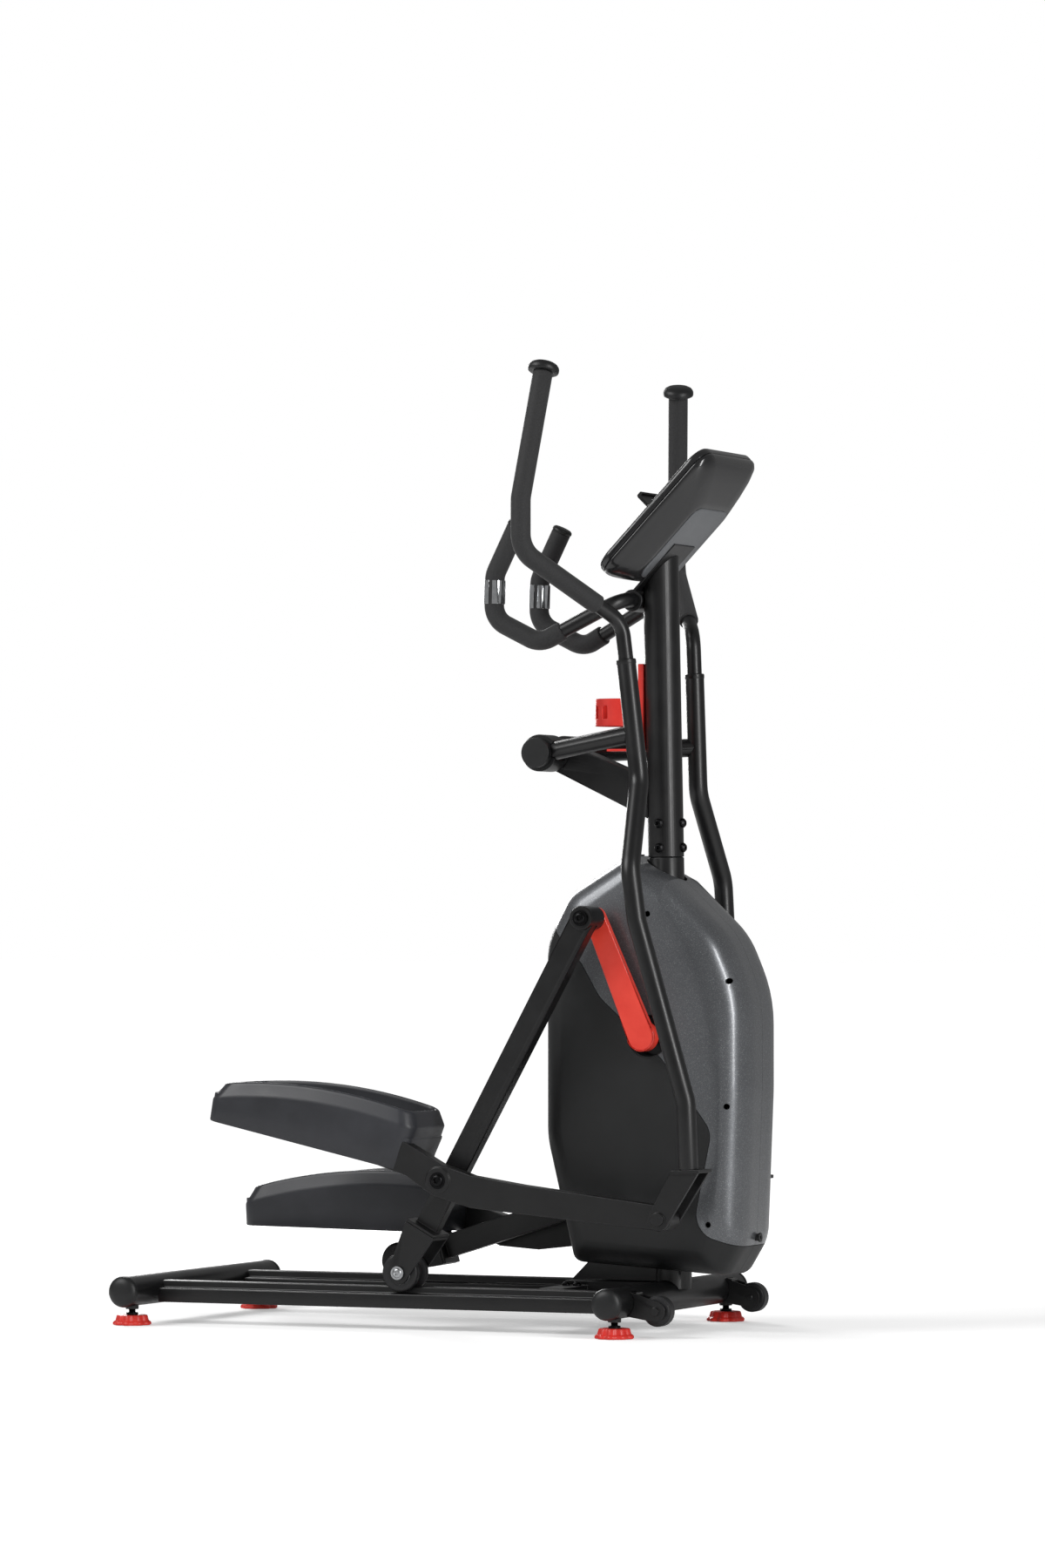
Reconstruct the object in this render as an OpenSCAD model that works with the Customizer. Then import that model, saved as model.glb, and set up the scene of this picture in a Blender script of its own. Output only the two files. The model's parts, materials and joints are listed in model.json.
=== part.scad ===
// Elliptical trainer: front-drive stepper frame with crank, roller arms on rails,
// pedal arms and two swinging handles. Millimetres, +Z up, +X is the machine's front,
// +Y its left side. The origin is the middle of the floor area that it covers.

/* [Base] */
// Distance between the rear and front levelling feet
foot_span = 883; // [780:5:1080]
// Distance of each foot from the centre plane
foot_side = 246; // [215:1:290]
// Outer diameter of both cross tubes
stabilizer_d = 51; // [44:1:60]
// Half length of each cross tube, without its end cap
stabilizer_half = 277; // [262:1:330]
// Height of the cross tubes' centres above the floor
stabilizer_z = 57; // [50:1:68]
// Diameter of a levelling foot
foot_d = 66; // [55:1:78]
// Height of a levelling foot
foot_h = 17; // [14:1:20]
// Distance of each rail's middle from the centre plane
rail_side = 165; // [150:1:190]
// Width of a rail
rail_w = 62; // [54:1:74]
// Height of a rail's flat top above the floor
rail_top = 60; // [52:1:66]
// Height of the ridge that the roller runs on, above the rail's flat top
ridge_h = 12; // [9:0.5:14]
// Width of the ridge
ridge_w = 24; // [18:1:28]

/* [Crank and linkage] */
// Height of the crank axle
crank_z = 491; // [460:1:560]
// Length of a crank arm between its two axes
crank_r = 213; // [175:1:256]
// Direction of the right crank arm, in degrees up from the front
crank_angle = 113; // [100:1:125]
// Length of a roller arm, from crank pin to roller axle
roller_arm_l = 676; // [640:1:760]
// Distance of the pedal arm's pivot from the roller axle
pedal_pivot_l = 179; // [150:1:215]
// Length of a pedal arm, from its pivot to the handle's clevis
pedal_link_l = 404; // [385:1:425]
// Length of a handle, from its pivot to its clevis
handle_link_l = 817; // [800:1:840]
// Height of the handles' pivot
handle_pivot_z = 963; // [945:1:980]
// Distance of the handles' pivot behind the post
handle_pivot_back = 213; // [200:1:225]
// Outer radius of a roller
roller_r = 32; // [29:0.5:36]
// Width of a roller
roller_w = 52; // [46:1:58]

/* [Post and mast] */
// Outer diameter of the post and the mast
mast_d = 60; // [52:1:70]
// Wall of the post and the mast
mast_wall = 2.5; // [2:0.5:4]
// Height of the joint between post and mast
mast_joint_z = 788; // [780:1:800]
// Distance of the post's foot ahead of the front cross tube
post_ahead = 6.5; // [0:0.5:12]
// Lean of the post towards the user, in degrees
lean = 1.12; // [0:0.02:2.5]

/* [Handles] */
// Outer diameter of the lower handle tube
handle_d = 32; // [28:1:38]
// Outer diameter of the upper handle tube
grip_tube_d = 25; // [22:1:30]
// Outer diameter of the foam on every grip
foam_d = 33; // [30:1:40]
// Height of the top of the handles
handle_top_z = 1583; // [1500:1:1640]
// Distance of a pedal arm's middle from the centre plane
pedal_arm_side = 212.5; // [208:0.5:222]

/* [Pedals] */
// Length of a pedal
pedal_l = 380; // [330:1:400]
// Width of a pedal
pedal_w = 156; // [140:1:165]
// Wall of a pedal
pedal_wall = 4; // [3:0.5:6]

/* [Shroud] */
// How far the shroud reaches ahead of the post's foot
shroud_nose = 171; // [160:1:200]
// Half width of the shroud
shroud_half = 96; // [88:1:104]
// Wall of the shroud
shroud_wall = 3; // [2:0.5:5]
// Radius of the flywheel
flywheel_r = 112; // [90:1:118]
// Thickness of the flywheel
flywheel_t = 20; // [12:1:22]
// Radius of the drive pulley
pulley_r = 125; // [105:1:140]

/* [Console] */
// Length of the console up its slope
console_l = 272; // [240:1:310]
// Width of the console
console_w = 240; // [210:1:280]
// Slope of the console's face, in degrees
console_slope = 46; // [35:1:55]

/* [Hidden] */
$fn = 48;
eps = 0.01;

// Clearances: between bodies, of a shaft in its bearing, and of pieces bolted together
gap = 0.3;
run = 0.06;
seat = 0.1;

// Places along the machine
nose_ahead = post_ahead + shroud_nose;
rear_x = -(foot_d / 2 + foot_span + nose_ahead) / 2 + foot_d / 2;
front_x = rear_x + foot_span;
post_x = front_x + post_ahead;
tube_r = stabilizer_d / 2;
mast_r = mast_d / 2;
rail_h = 24;
roller_z = rail_top + ridge_h + roller_r - 9;
groove_r = roller_z - rail_top - ridge_h - gap;

// Planes across the machine, as distances from the centre plane
arm_w = 22;
crank_face = rail_side - 37;
crank_t = 14;
shaft_end = crank_face - gap - 0.5;
hub_outer = rail_side + 20;
pedal_tube_w = 25;
pedal_tube_h = 46;
clevis_gap = 40;
clevis_w = 55;
handle_low_side = pedal_arm_side + 15;
handle_high_side = 136.5;
pedal_side = pedal_arm_side + pedal_tube_w / 2 + pedal_wall + 1 - pedal_w / 2;

// Places in the side view, as [forward, up]
function post_axis(z) = [post_x - z * tan(lean), z];
crank_c = post_axis(crank_z);
flywheel_z = 236;
flywheel_c = post_axis(flywheel_z);
handle_c = [post_x - handle_pivot_back, handle_pivot_z];

// The linkage on one side for a crank angle, solved in the side view
function crank_pin(a) = crank_c + crank_r * [cos(a), sin(a)];
function roller_c(a) =
    let (p = crank_pin(a), rise = p[1] - roller_z)
    [p[0] - sqrt(roller_arm_l * roller_arm_l - rise * rise), roller_z];
function pedal_c(a) =
    let (w = roller_c(a)) w + (crank_pin(a) - w) * pedal_pivot_l / roller_arm_l;
function clevis_c(a) =
    let (
        q = pedal_c(a),
        span = handle_c - q,
        d = norm(span),
        along = (pedal_link_l * pedal_link_l - handle_link_l * handle_link_l + d * d) / (2 * d),
        across = sqrt(pedal_link_l * pedal_link_l - along * along)
    )
    q + span / d * along + [span[1], -span[0]] / d * across;
function slope(from, to) = atan2(to[1] - from[1], to[0] - from[0]);
right_a = crank_angle;
left_a = crank_angle + 180;

// A handle is drawn with its clevis straight down this direction, then turned to its place
handle_rest_slope = -72.4;
clevis_in_handle = handle_link_l * [cos(handle_rest_slope), sin(handle_rest_slope)];
handle_foot = clevis_in_handle + [53, 79];
handle_low_top = 142;
handle_arm_end = [197, handle_high_side, 20];
lower_path = [
    [188, handle_high_side, handle_low_top],
    [203, handle_high_side, -58],
    [218, handle_low_side, -205],
    [226, handle_low_side, -290],
    [handle_foot[0], handle_low_side, handle_foot[1] + 110],
    [handle_foot[0], handle_low_side, handle_foot[1]]
];
grip_top = handle_top_z - handle_pivot_z;
upper_path = [
    [190.5, handle_high_side, 112],
    [183, handle_high_side, 206],
    [78, 303, 324],
    [80, 299, 410],
    [100, 232, grip_top]
];
handle_bend = 60;
handle_wall = (handle_d - grip_tube_d) / 2 - gap;
grip_wall = 2;
grip_bend = 46;
hub_side = 24.5;
hub_l = 59;
hub_r = 22.5;
axle_r = 10;
cover_r = 31;

// The fixed handlebar's right half, from the mast's back outwards
bar_r = 12.5;
bar_z = 1220;
bar_x = post_axis(bar_z)[0] - mast_r - bar_r - seat;
bar_path = [
    [bar_x, 0, bar_z],
    [bar_x, 72, bar_z - 2],
    [bar_x - 138, 95, 1146],
    [bar_x - 222, 95, 1188],
    [bar_x - 220, 95, 1262],
    [bar_x - 180, 95, 1342]
];
bar_bend = 38;

// Console frame: its own origin is the face's lower edge
console_foot = [post_x - 97.5, 1271];
console_r = 34;
front_t = 14;
back_t = 12;
pad_depth = 40;
pad_u = [20, 190];
pad_half = 78;
bracket_u = [3, 108];
bracket_t = 4;
key_r = 8;
keys = [[24, 0], [24, -34], [24, 34]];
window = [[52, 108], [-68, 68]];

// Transport wheels
wheel_r = 25;
wheel_w = 22;
wheel_c = [front_x + 64, 44];
wheel_side = foot_side - 35;

// Shroud outline around the post's foot: [forward, up, corner radius]
shroud_corners = [
    [-158, 112, 14], [-208, 318, 150], [-208, 650, 110], [-165, 730, 60], [-62, 792, 8],
    [17, 752, 8], [shroud_nose, 610, 110], [shroud_nose, 400, 200], [150, 150, 70], [118, 94, 16]
];
// Edge of the black lower covers in the side view: [forward, up, corner radius]
cover_corners = [
    [-260, 745, 1], [-130, 613, 40], [-96, 555, 60], [16, 454, 200], [104, 334, 40],
    [70, 170, 44], [240, 108, 1], [240, 40, 1], [-260, 40, 1]
];
// Shroud screws: [forward, up, well's floor and screw's tip as distances from the centre plane]
shroud_screw_at = [
    [-10, 694, 44, mast_r + gap], [138, 583, 24, -1], [137, 376, 24, -1], [106, 181, 24, -1]
];
// Shroud section: [distance from the centre plane as a share of the half width, inset]
shroud_section = [[0, 0], [0.42, 0], [0.66, 4], [0.84, 13], [0.95, 27], [1, 44]];
// Middle of the outline, and how far it reaches from there
shroud_mid = [(shroud_nose - 208) / 2, 443];
shroud_reach = [(shroud_nose + 208) / 2, 349];
screw_boss_r = 8;
screw_well_r = 5;
screw_r = 2.2;
crank_recess_r = 36;

steel = [0.72, 0.73, 0.75];
black = [0.11, 0.11, 0.12];
charcoal = [0.23, 0.23, 0.24];
red = [0.91, 0.27, 0.22];
grey = [0.37, 0.38, 0.39];

// ---- Helpers -------------------------------------------------------------------------

// Cylinder along Y between two distances
module rod_y(r, y0, y1) {
    translate([0, y0, 0]) rotate([-90, 0, 0]) cylinder(r = r, h = y1 - y0);
}

// Side-view outline, [forward, up], extruded along Y between two distances
module plate_y(y0, y1) {
    translate([0, y1, 0]) rotate([90, 0, 0]) linear_extrude(y1 - y0) children();
}

// Everything is drawn on the left side; the right side is its mirror image
module on_side(side) {
    mirror([0, side < 0 ? 1 : 0, 0]) children();
}

module at_side_view(p, turn = 0) {
    translate([p[0], 0, p[1]]) rotate([0, -turn, 0]) children();
}

function unit(v) = v / norm(v);
// Any direction square to v
function square_to(v) = unit(cross(v, abs(v[2]) < 0.9 ? [0, 0, 1] : [1, 0, 0]));
// Matrix that puts local X, Y, Z on three directions at a place
function place(x, y, z, at) = [
    [x[0], y[0], z[0], at[0]],
    [x[1], y[1], z[1], at[1]],
    [x[2], y[2], z[2], at[2]],
    [0, 0, 0, 1]
];
function turn_at(p, i) = acos(unit(p[i] - p[i - 1]) * unit(p[i + 1] - p[i]));
function setback(p, i, bend) =
    i <= 0 || i >= len(p) - 1 ? 0 : bend * tan(turn_at(p, i) / 2);

// Rings along a path with round bends: [centre, direction] of each
function bend_rings(p, i, bend) =
    let (
        d = unit(p[i] - p[i - 1]),
        next = unit(p[i + 1] - p[i]),
        inward = unit(next - d * (d * next)),
        centre = p[i] - d * setback(p, i, bend) + inward * bend,
        turn = turn_at(p, i),
        steps = ceil(turn / 10)
    )
    [for (k = [0 : steps]) let (t = turn * k / steps)
        [centre + bend * (sin(t) * d - cos(t) * inward), cos(t) * d + sin(t) * inward]];
function path_rings(p, bend) = concat(
    [[p[0], unit(p[1] - p[0])]],
    len(p) < 3 ? [] : [for (i = [1 : len(p) - 2]) each bend_rings(p, i, bend)],
    [[p[len(p) - 1], unit(p[len(p) - 1] - p[len(p) - 2])]]
);
// A direction square to each ring's own, turning as little as it can
function ring_normals(rings) = [
    for (
        i = 0, n = square_to(rings[0][1]);
        i < len(rings);
        i = i + 1, n = i < len(rings) ? unit(n - rings[i][1] * (n * rings[i][1])) : n
    ) n
];
function ring_points(rings, normals, r, sides) = [
    for (i = [0 : len(rings) - 1], k = [0 : sides - 1])
        let (a = 360 * k / sides)
        rings[i][0] + r * (cos(a) * normals[i] + sin(a) * cross(rings[i][1], normals[i]))
];

// Tube along a path: outer skin, inner skin and a flat ring at each end
module bent_tube(p, bend, r, wall, sides = 20) {
    rings = path_rings(p, bend);
    normals = ring_normals(rings);
    n = len(rings);
    inner = n * sides;
    last = (n - 1) * sides;
    polyhedron(
        points = concat(
            ring_points(rings, normals, r, sides),
            ring_points(rings, normals, r - wall, sides)
        ),
        faces = [
            for (k = [0 : sides - 1]) let (j = (k + 1) % sides) each concat(
                [for (i = [0 : n - 2]) each let (a = i * sides + k, b = i * sides + j) [
                    [a, a + sides, b + sides], [a, b + sides, b],
                    [inner + a, inner + b + sides, inner + a + sides],
                    [inner + a, inner + b, inner + b + sides]
                ]],
                [
                    [k, j, inner + j], [k, inner + j, inner + k],
                    [last + k, inner + last + j, last + j],
                    [last + k, inner + last + k, inner + last + j]
                ]
            )
        ]
    );
}

// Outline with round corners from [x, y, radius] points, anticlockwise or clockwise
function corner_arc(c, i, n) =
    let (
        at = [c[i][0], c[i][1]],
        before = unit([c[(i + n - 1) % n][0], c[(i + n - 1) % n][1]] - at),
        after = unit([c[(i + 1) % n][0], c[(i + 1) % n][1]] - at),
        half = acos(before * after) / 2,
        centre = at + unit(before + after) * c[i][2] / sin(half),
        start = at + before * c[i][2] / tan(half) - centre,
        finish = at + after * c[i][2] / tan(half) - centre,
        sweep = 180 - 2 * half,
        steps = max(1, ceil(sweep / 14)),
        way = start[0] * finish[1] - start[1] * finish[0] > 0 ? 1 : -1
    )
    [for (k = [0 : steps])
        let (a = way * sweep * k / steps)
        centre + [start[0] * cos(a) - start[1] * sin(a), start[0] * sin(a) + start[1] * cos(a)]];
function rounded(c) = [for (i = [0 : len(c) - 1]) each corner_arc(c, i, len(c))];

// Rectangle with round corners
module round_rect(l, w, r) {
    translate([r, 0]) square([l - 2 * r, w]);
    translate([0, r]) square([l, w - 2 * r]);
    for (x = [r, l - r], y = [r, w - r]) translate([x, y]) circle(r = r);
}

// Bar with two round ends of different radius, tangent sides, from the origin along X
module link_outline(l, r0, r1) {
    a = acos((r0 - r1) / l);
    circle(r = r0);
    translate([l, 0]) circle(r = r1);
    polygon([
        r0 * [cos(a), sin(a)],
        r0 * [cos(a), -sin(a)],
        [l, 0] + r1 * [cos(a), -sin(a)],
        [l, 0] + r1 * [cos(a), sin(a)]
    ]);
}

// Button-head screw that stands up along Z from the surface z = 0
module button_head(r, h) {
    difference() {
        union() {
            cylinder(r = r, h = h * 0.45);
            translate([0, 0, h * 0.45]) cylinder(r1 = r, r2 = r * 0.62, h = h * 0.55);
        }
        translate([0, 0, h * 0.35]) cylinder(r = r * 0.42, h = h, $fn = 6);
    }
}

// Ring along Y
module ring_y(r_out, r_in, y0, y1) {
    difference() {
        rod_y(r_out, y0, y1);
        rod_y(r_in, y0 - 1, y1 + 1);
    }
}

// Things that belong to the leaning post
module on_post() {
    translate([post_x, 0, 0]) rotate([0, -lean, 0]) children();
}

// ---- Base ----------------------------------------------------------------------------

foot_stem_r = 6;
boss_r = 11;

module stabilizer(x) {
    translate([x, 0, stabilizer_z]) difference() {
        union() {
            rod_y(tube_r, -stabilizer_half, stabilizer_half);
            for (s = [-1, 1]) translate([0, s * foot_side, -tube_r - 5]) cylinder(r = boss_r, h = 12);
        }
        rod_y(tube_r - 2, -stabilizer_half - 1, stabilizer_half + 1);
        for (s = [-1, 1]) translate([0, s * foot_side, -tube_r - 8])
            cylinder(r = foot_stem_r + gap, h = 22);
    }
}

module rear_stabilizer() {
    color(black) stabilizer(rear_x);
}

module front_stabilizer() {
    color(black) stabilizer(front_x);
}

// Domed plugs in the ends of both cross tubes
module stabilizer_caps() {
    color(black)
    for (x = [rear_x, front_x], s = [-1, 1])
        on_side(s) translate([x, stabilizer_half, stabilizer_z]) rotate([-90, 0, 0])
            rotate_extrude() polygon([
                [0, -16], [tube_r - 2 - seat, -16], [tube_r - 2 - seat, 0], [tube_r + 1, 0],
                [tube_r + 1, 3], [tube_r - 1.5, 8], [tube_r * 0.7, 12.2], [tube_r * 0.35, 14.4], [0, 15]
            ]);
}

// Rolled steel rails: a flat box with the roller's ridge along its middle
module rails() {
    rail_l = front_x - rear_x;
    color(black)
    for (s = [-1, 1]) on_side(s) difference() {
        translate([rear_x, rail_side, 0]) {
            translate([0, -rail_w / 2, rail_top - rail_h]) cube([rail_l, rail_w, rail_h]);
            translate([0, -ridge_w / 2, rail_top - eps]) cube([rail_l, ridge_w, ridge_h + eps]);
        }
        translate([rear_x - 1, rail_side - rail_w / 2 + 2.5, rail_top - rail_h + 2.5])
            cube([rail_l + 2, rail_w - 5, rail_h - 5]);
        for (x = [rear_x, front_x]) translate([x, 0, stabilizer_z]) rod_y(tube_r + seat, 0, 400);
        for (x = [rear_x, front_x]) translate([x, 0, stabilizer_z])
            translate([x < 0 ? -80 : 0, 0, -60]) cube([80, 400, 120]);
    }
}

beam_w = 60;
beam_top = 80;
beam_h = 38;
cross_x = post_x - 190;
cross_w = 44;
shell_half = 34;
crank_shell_r = 27;
flywheel_shell_r = 23;
shell_wall = 5;

// Welded frame: cross beam between the rails, beam to the front tube, gusset, leaning post
module main_frame() {
    inner_half = rail_side - rail_w / 2 - seat;
    color(black) difference() {
        union() {
            translate([cross_x, -inner_half, rail_top - 18])
                cube([cross_w, 2 * inner_half, 30]);
            translate([cross_x + 4, -beam_w / 2, beam_top - beam_h])
                cube([front_x - cross_x - 4, beam_w, beam_h]);
            plate_y(-4, 4) polygon([
                [cross_x + 2, beam_top - 2],
                [cross_x + 44, beam_top + 40],
                [cross_x + 36, 262],
                [post_x - 8, 330],
                [post_x - 2, beam_top - 2]
            ]);
            on_post() {
                translate([0, 0, beam_top - 12]) cylinder(r = mast_r, h = mast_joint_z - beam_top + 12);
                translate([0, 0, mast_joint_z - 60])
                    cylinder(r = mast_r - mast_wall - seat, h = 60 + 92);
            }
            at_side_view(crank_c) rod_y(crank_shell_r, -shell_half, shell_half);
            at_side_view(flywheel_c) rod_y(flywheel_shell_r, -shell_half, shell_half);
        }
        translate([cross_x + 8, -beam_w / 2 + 3, beam_top - beam_h + 3])
            cube([front_x - cross_x, beam_w - 6, beam_h - 18]);
        at_side_view(crank_c)
            rod_y(crank_shell_r - shell_wall, -shell_half - 1, shell_half + 1);
        at_side_view(flywheel_c)
            rod_y(flywheel_shell_r - shell_wall, -shell_half - 1, shell_half + 1);
        on_post() translate([0, 0, mast_joint_z - 90])
            cylinder(r = mast_r - mast_wall - 4, h = 200);
        translate([front_x, 0, stabilizer_z]) rod_y(tube_r + seat, -400, 400);
        translate([front_x, -200, -60]) cube([120, 400, 60 + beam_top - beam_h + 24]);
    }
}

module console_frame() {
    at_side_view(console_foot, console_slope) children();
}

// Upper mast tube: sleeves over the post's spigot, its top is cut to the console's slope
module mast() {
    color(black) difference() {
        on_post() translate([0, 0, mast_joint_z + 1]) cylinder(r = mast_r, h = 560);
        on_post() translate([0, 0, mast_joint_z - 1]) cylinder(r = mast_r - mast_wall, h = 580);
        console_frame() translate([-300, -200, -front_t - pad_depth - bracket_t - seat])
            cube([900, 400, 600]);
    }
}

bolt_r = 8;
bolt_h = 6;

// Button-head bolts: mast joint, rail joints and the post's beam
module frame_bolts() {
    color(steel) {
        on_post() for (z = [16, 57], turn = [0, 90, 270])
            translate([0, 0, mast_joint_z + z]) rotate([0, 90, turn])
                translate([0, 0, mast_r + seat]) button_head(bolt_r, bolt_h);
        for (s = [-1, 1], x = [12, 32])
            translate([cross_x + x, s * (beam_w / 2 + 16), rail_top + 12.1])
                button_head(bolt_r - 1, bolt_h);
    }
}

// ---- Handle pivot --------------------------------------------------------------------

strut_half = 20;
strut_end_r = 26;

// Box strut from the mast back to the handles' axle
module pivot_strut() {
    color(black) difference() {
        union() {
            plate_y(-strut_half, strut_half) polygon([
                [handle_c[0] + 8, handle_c[1] + 24],
                [handle_c[0] - 6, handle_c[1] - 24],
                [post_axis(843)[0] - 4, handle_c[1] - 120],
                [post_axis(843)[0] - 4, handle_c[1] - 52]
            ]);
            at_side_view(handle_c) rod_y(strut_end_r, -strut_half - 2, strut_half + 2);
        }
        at_side_view(handle_c) rod_y(axle_r + seat, -100, 100);
        on_post() cylinder(r = mast_r + seat, h = 1400);
    }
}

// Steel bar that both handles turn on, with a washer and nut at each end
module pivot_axle() {
    end = hub_side + hub_l + gap;
    color(steel) at_side_view(handle_c) {
        rod_y(axle_r, -end - 8, end + 8);
        for (s = [-1, 1]) on_side(s) rod_y(axle_r + 4, end, end + 3);
    }
}

// ---- Drive ---------------------------------------------------------------------------

pulley_side = 44;
pulley_w = 16;
shaft_r = 10;
fly_shaft_r = 8;
belt_t = 3;
small_r = 16;

module crankshaft() {
    color(steel) at_side_view(crank_c) rod_y(shaft_r, -shaft_end, shaft_end);
}

module bearing_pair(r_out, r_in) {
    for (s = [-1, 1]) on_side(s) ring_y(r_out, r_in, shell_half - 13, shell_half - 1);
}

// Ball bearings of the crankshaft and of the flywheel, as plain rings
module bearings() {
    color(steel) {
        at_side_view(crank_c) bearing_pair(crank_shell_r - shell_wall - 0.02, shaft_r + run);
        at_side_view(flywheel_c)
            bearing_pair(flywheel_shell_r - shell_wall - 0.02, fly_shaft_r + run);
    }
}

// Grooved belt wheel with five round windows
module drive_pulley() {
    color(black) at_side_view(crank_c) difference() {
        union() {
            rod_y(pulley_r, pulley_side, pulley_side + pulley_w);
            rod_y(pulley_r + 5, pulley_side - 2, pulley_side);
            rod_y(22, shell_half + 1, pulley_side + pulley_w + 8);
        }
        rod_y(shaft_r + 0.02, 0, 120);
        for (k = [0 : 4]) rotate([0, 72 * k, 0]) translate([pulley_r * 0.6, 0, 0])
            rod_y(pulley_r * 0.24, pulley_side - 3, pulley_side + pulley_w + 1);
    }
}

// Points around one skin of the belt: an arc at each wheel, joined by straight runs
function belt_loop(run_d, big, small, steps = 48) =
    let (wrap = acos((small - big) / run_d))
    concat(
        [for (k = [0 : steps]) let (a = wrap * (2 * k / steps - 1))
            [run_d + big * cos(a), big * sin(a)]],
        [for (k = [0 : steps]) let (a = wrap + (360 - 2 * wrap) * k / steps)
            small * [cos(a), sin(a)]]
    );

// Poly-V belt round the drive pulley and the flywheel's small wheel
module drive_belt() {
    run_d = norm(crank_c - flywheel_c);
    big = pulley_r + gap;
    small = small_r + gap;
    color(black) translate([flywheel_c[0], pulley_side + pulley_w - 2, flywheel_c[1]])
    rotate([90, 0, 0]) rotate([0, 0, 90 + lean]) linear_extrude(pulley_w - 4) difference() {
        polygon(belt_loop(run_d, big + belt_t, small + belt_t));
        polygon(belt_loop(run_d, big, small));
    }
}

fly_side = -46;

// Heavy rimmed disc that the brake acts on
module flywheel() {
    color(steel) at_side_view(flywheel_c) difference() {
        rod_y(flywheel_r, fly_side - flywheel_t, fly_side);
        rod_y(flywheel_r - 26, fly_side - flywheel_t - 1, fly_side - flywheel_t + 5);
        rod_y(flywheel_r - 26, fly_side - 5, fly_side + 1);
        rod_y(fly_shaft_r + 0.02, -150, 0);
        for (k = [0 : 5]) rotate([0, 60 * k, 0]) translate([flywheel_r * 0.46, 0, 0])
            rod_y(flywheel_r * 0.13, -150, 0);
    }
}

// Flywheel's shaft with the small belt wheel on it
module flywheel_axle() {
    color(steel) at_side_view(flywheel_c) {
        rod_y(fly_shaft_r, fly_side - flywheel_t - 4, pulley_side + pulley_w + 4);
        rod_y(small_r, pulley_side, pulley_side + pulley_w);
        rod_y(small_r + 4, pulley_side - 2, pulley_side);
    }
}

// Magnet carrier behind the flywheel's rim, and the motor that moves it
module brake_unit() {
    arc_r = flywheel_r + 4;
    color(steel) at_side_view(flywheel_c) {
        translate([0, fly_side + 2, 0]) rotate([90, 0, 0])
            rotate([0, 0, 150]) rotate_extrude(angle = 60) translate([arc_r, 0])
                square([10, flywheel_t + 4]);
        translate([-arc_r - 26, fly_side - 8, -14]) cube([17, -fly_side + 4 - seat, 28]);
    }
    color(black) at_side_view(flywheel_c)
        translate([-arc_r - 26, 4 + seat, -22]) cube([30, 34, 44]);
}

// ---- Crank arms and roller arms ------------------------------------------------------

// Flat tapered arm with a boss on the shaft and an eye at the pin
module crank_arm(side, a) {
    color(red) on_side(side) at_side_view(crank_c, a) difference() {
        union() {
            plate_y(crank_face - crank_t, crank_face) link_outline(crank_r, 23, 18);
            rod_y(25, crank_face - crank_t - 8, crank_face - 1);
        }
        rod_y(shaft_r + 0.02, crank_face - crank_t - 10, shaft_end);
    }
}
module right_crank_arm() { crank_arm(-1, right_a); }
module left_crank_arm() { crank_arm(1, left_a); }

arm_h = 40;
hub_or = 20;
fork_l = 78;
plate_t = 5;
roller_bolt_r = 5;
fork_inner = roller_w / 2 + 1;
pedal_pin_r = 8;

// Frame of one roller arm: X runs from the roller axle to the crank pin
module roller_frame(side, a) {
    on_side(side) at_side_view(roller_c(a), slope(roller_c(a), crank_pin(a))) children();
}

// Rectangular tube with the crank-pin hub, the pedal arm's pivot pin and an end plate
module roller_arm(side, a) {
    arm_start = fork_l + plate_t + seat;
    color(black) roller_frame(side, a) difference() {
        union() {
            translate([arm_start + plate_t, rail_side - arm_w / 2, -arm_h / 2])
                cube([roller_arm_l - arm_start - plate_t, arm_w, arm_h]);
            translate([arm_start, rail_side - fork_inner - 4, -29])
                cube([plate_t, 2 * fork_inner + 8, 58]);
            translate([roller_arm_l, 0, 0]) rod_y(hub_or, crank_face + gap, hub_outer);
            translate([pedal_pivot_l, 0, 0]) {
                rod_y(18, rail_side, pedal_arm_side - pedal_tube_w / 2 - gap);
                rod_y(pedal_pin_r, rail_side, pedal_arm_side + pedal_tube_w / 2 + 3);
            }
        }
        translate([arm_start + plate_t + 2, rail_side - arm_w / 2 + 2, -arm_h / 2 + 2])
            cube([roller_arm_l - arm_start - plate_t - 30, arm_w - 4, arm_h - 4]);
        translate([roller_arm_l, 0, 0]) rod_y(hub_or - 5, crank_face, hub_outer - 4);
        translate([roller_arm_l, 0, 0]) rod_y(8 + seat, crank_face, hub_outer + 1);
    }
}
module right_roller_arm() { roller_arm(-1, right_a); }
module left_roller_arm() { roller_arm(1, left_a); }

// Fork with its bolts, the roller's axle, and the pivot bolt and bush in the arm's hub
module roller_fork(side, a) {
    inner = fork_inner;
    color(black) roller_frame(side, a) {
        difference() {
            union() {
                for (y = [rail_side - inner - 4, rail_side + inner])
                    plate_y(y, y + 4) {
                        circle(r = 19);
                        polygon([[-6, 18], [fork_l, 29], [fork_l, -29], [-6, -18]]);
                    }
                translate([fork_l, rail_side - inner - 4, -29])
                    cube([plate_t, 2 * inner + 8, 58]);
            }
            rod_y(roller_bolt_r + 0.02, 0, 300);
        }
    }
    color(steel) roller_frame(side, a) {
        rod_y(roller_bolt_r, rail_side - inner - 4, rail_side + inner + 4);
        rod_y(9, rail_side + inner + 4, rail_side + inner + 7);
        rod_y(8, rail_side - inner - 10, rail_side - inner - 4);
        translate([roller_arm_l, 0, 0]) {
            rod_y(8, crank_face + gap, hub_outer);
            rod_y(11, hub_outer, hub_outer + 3);
            ring_y(hub_or - 5 - 0.02, 8 + seat, crank_face + gap, crank_face + 12);
        }
    }
}
module right_roller_fork() { roller_fork(-1, right_a); }
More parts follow.
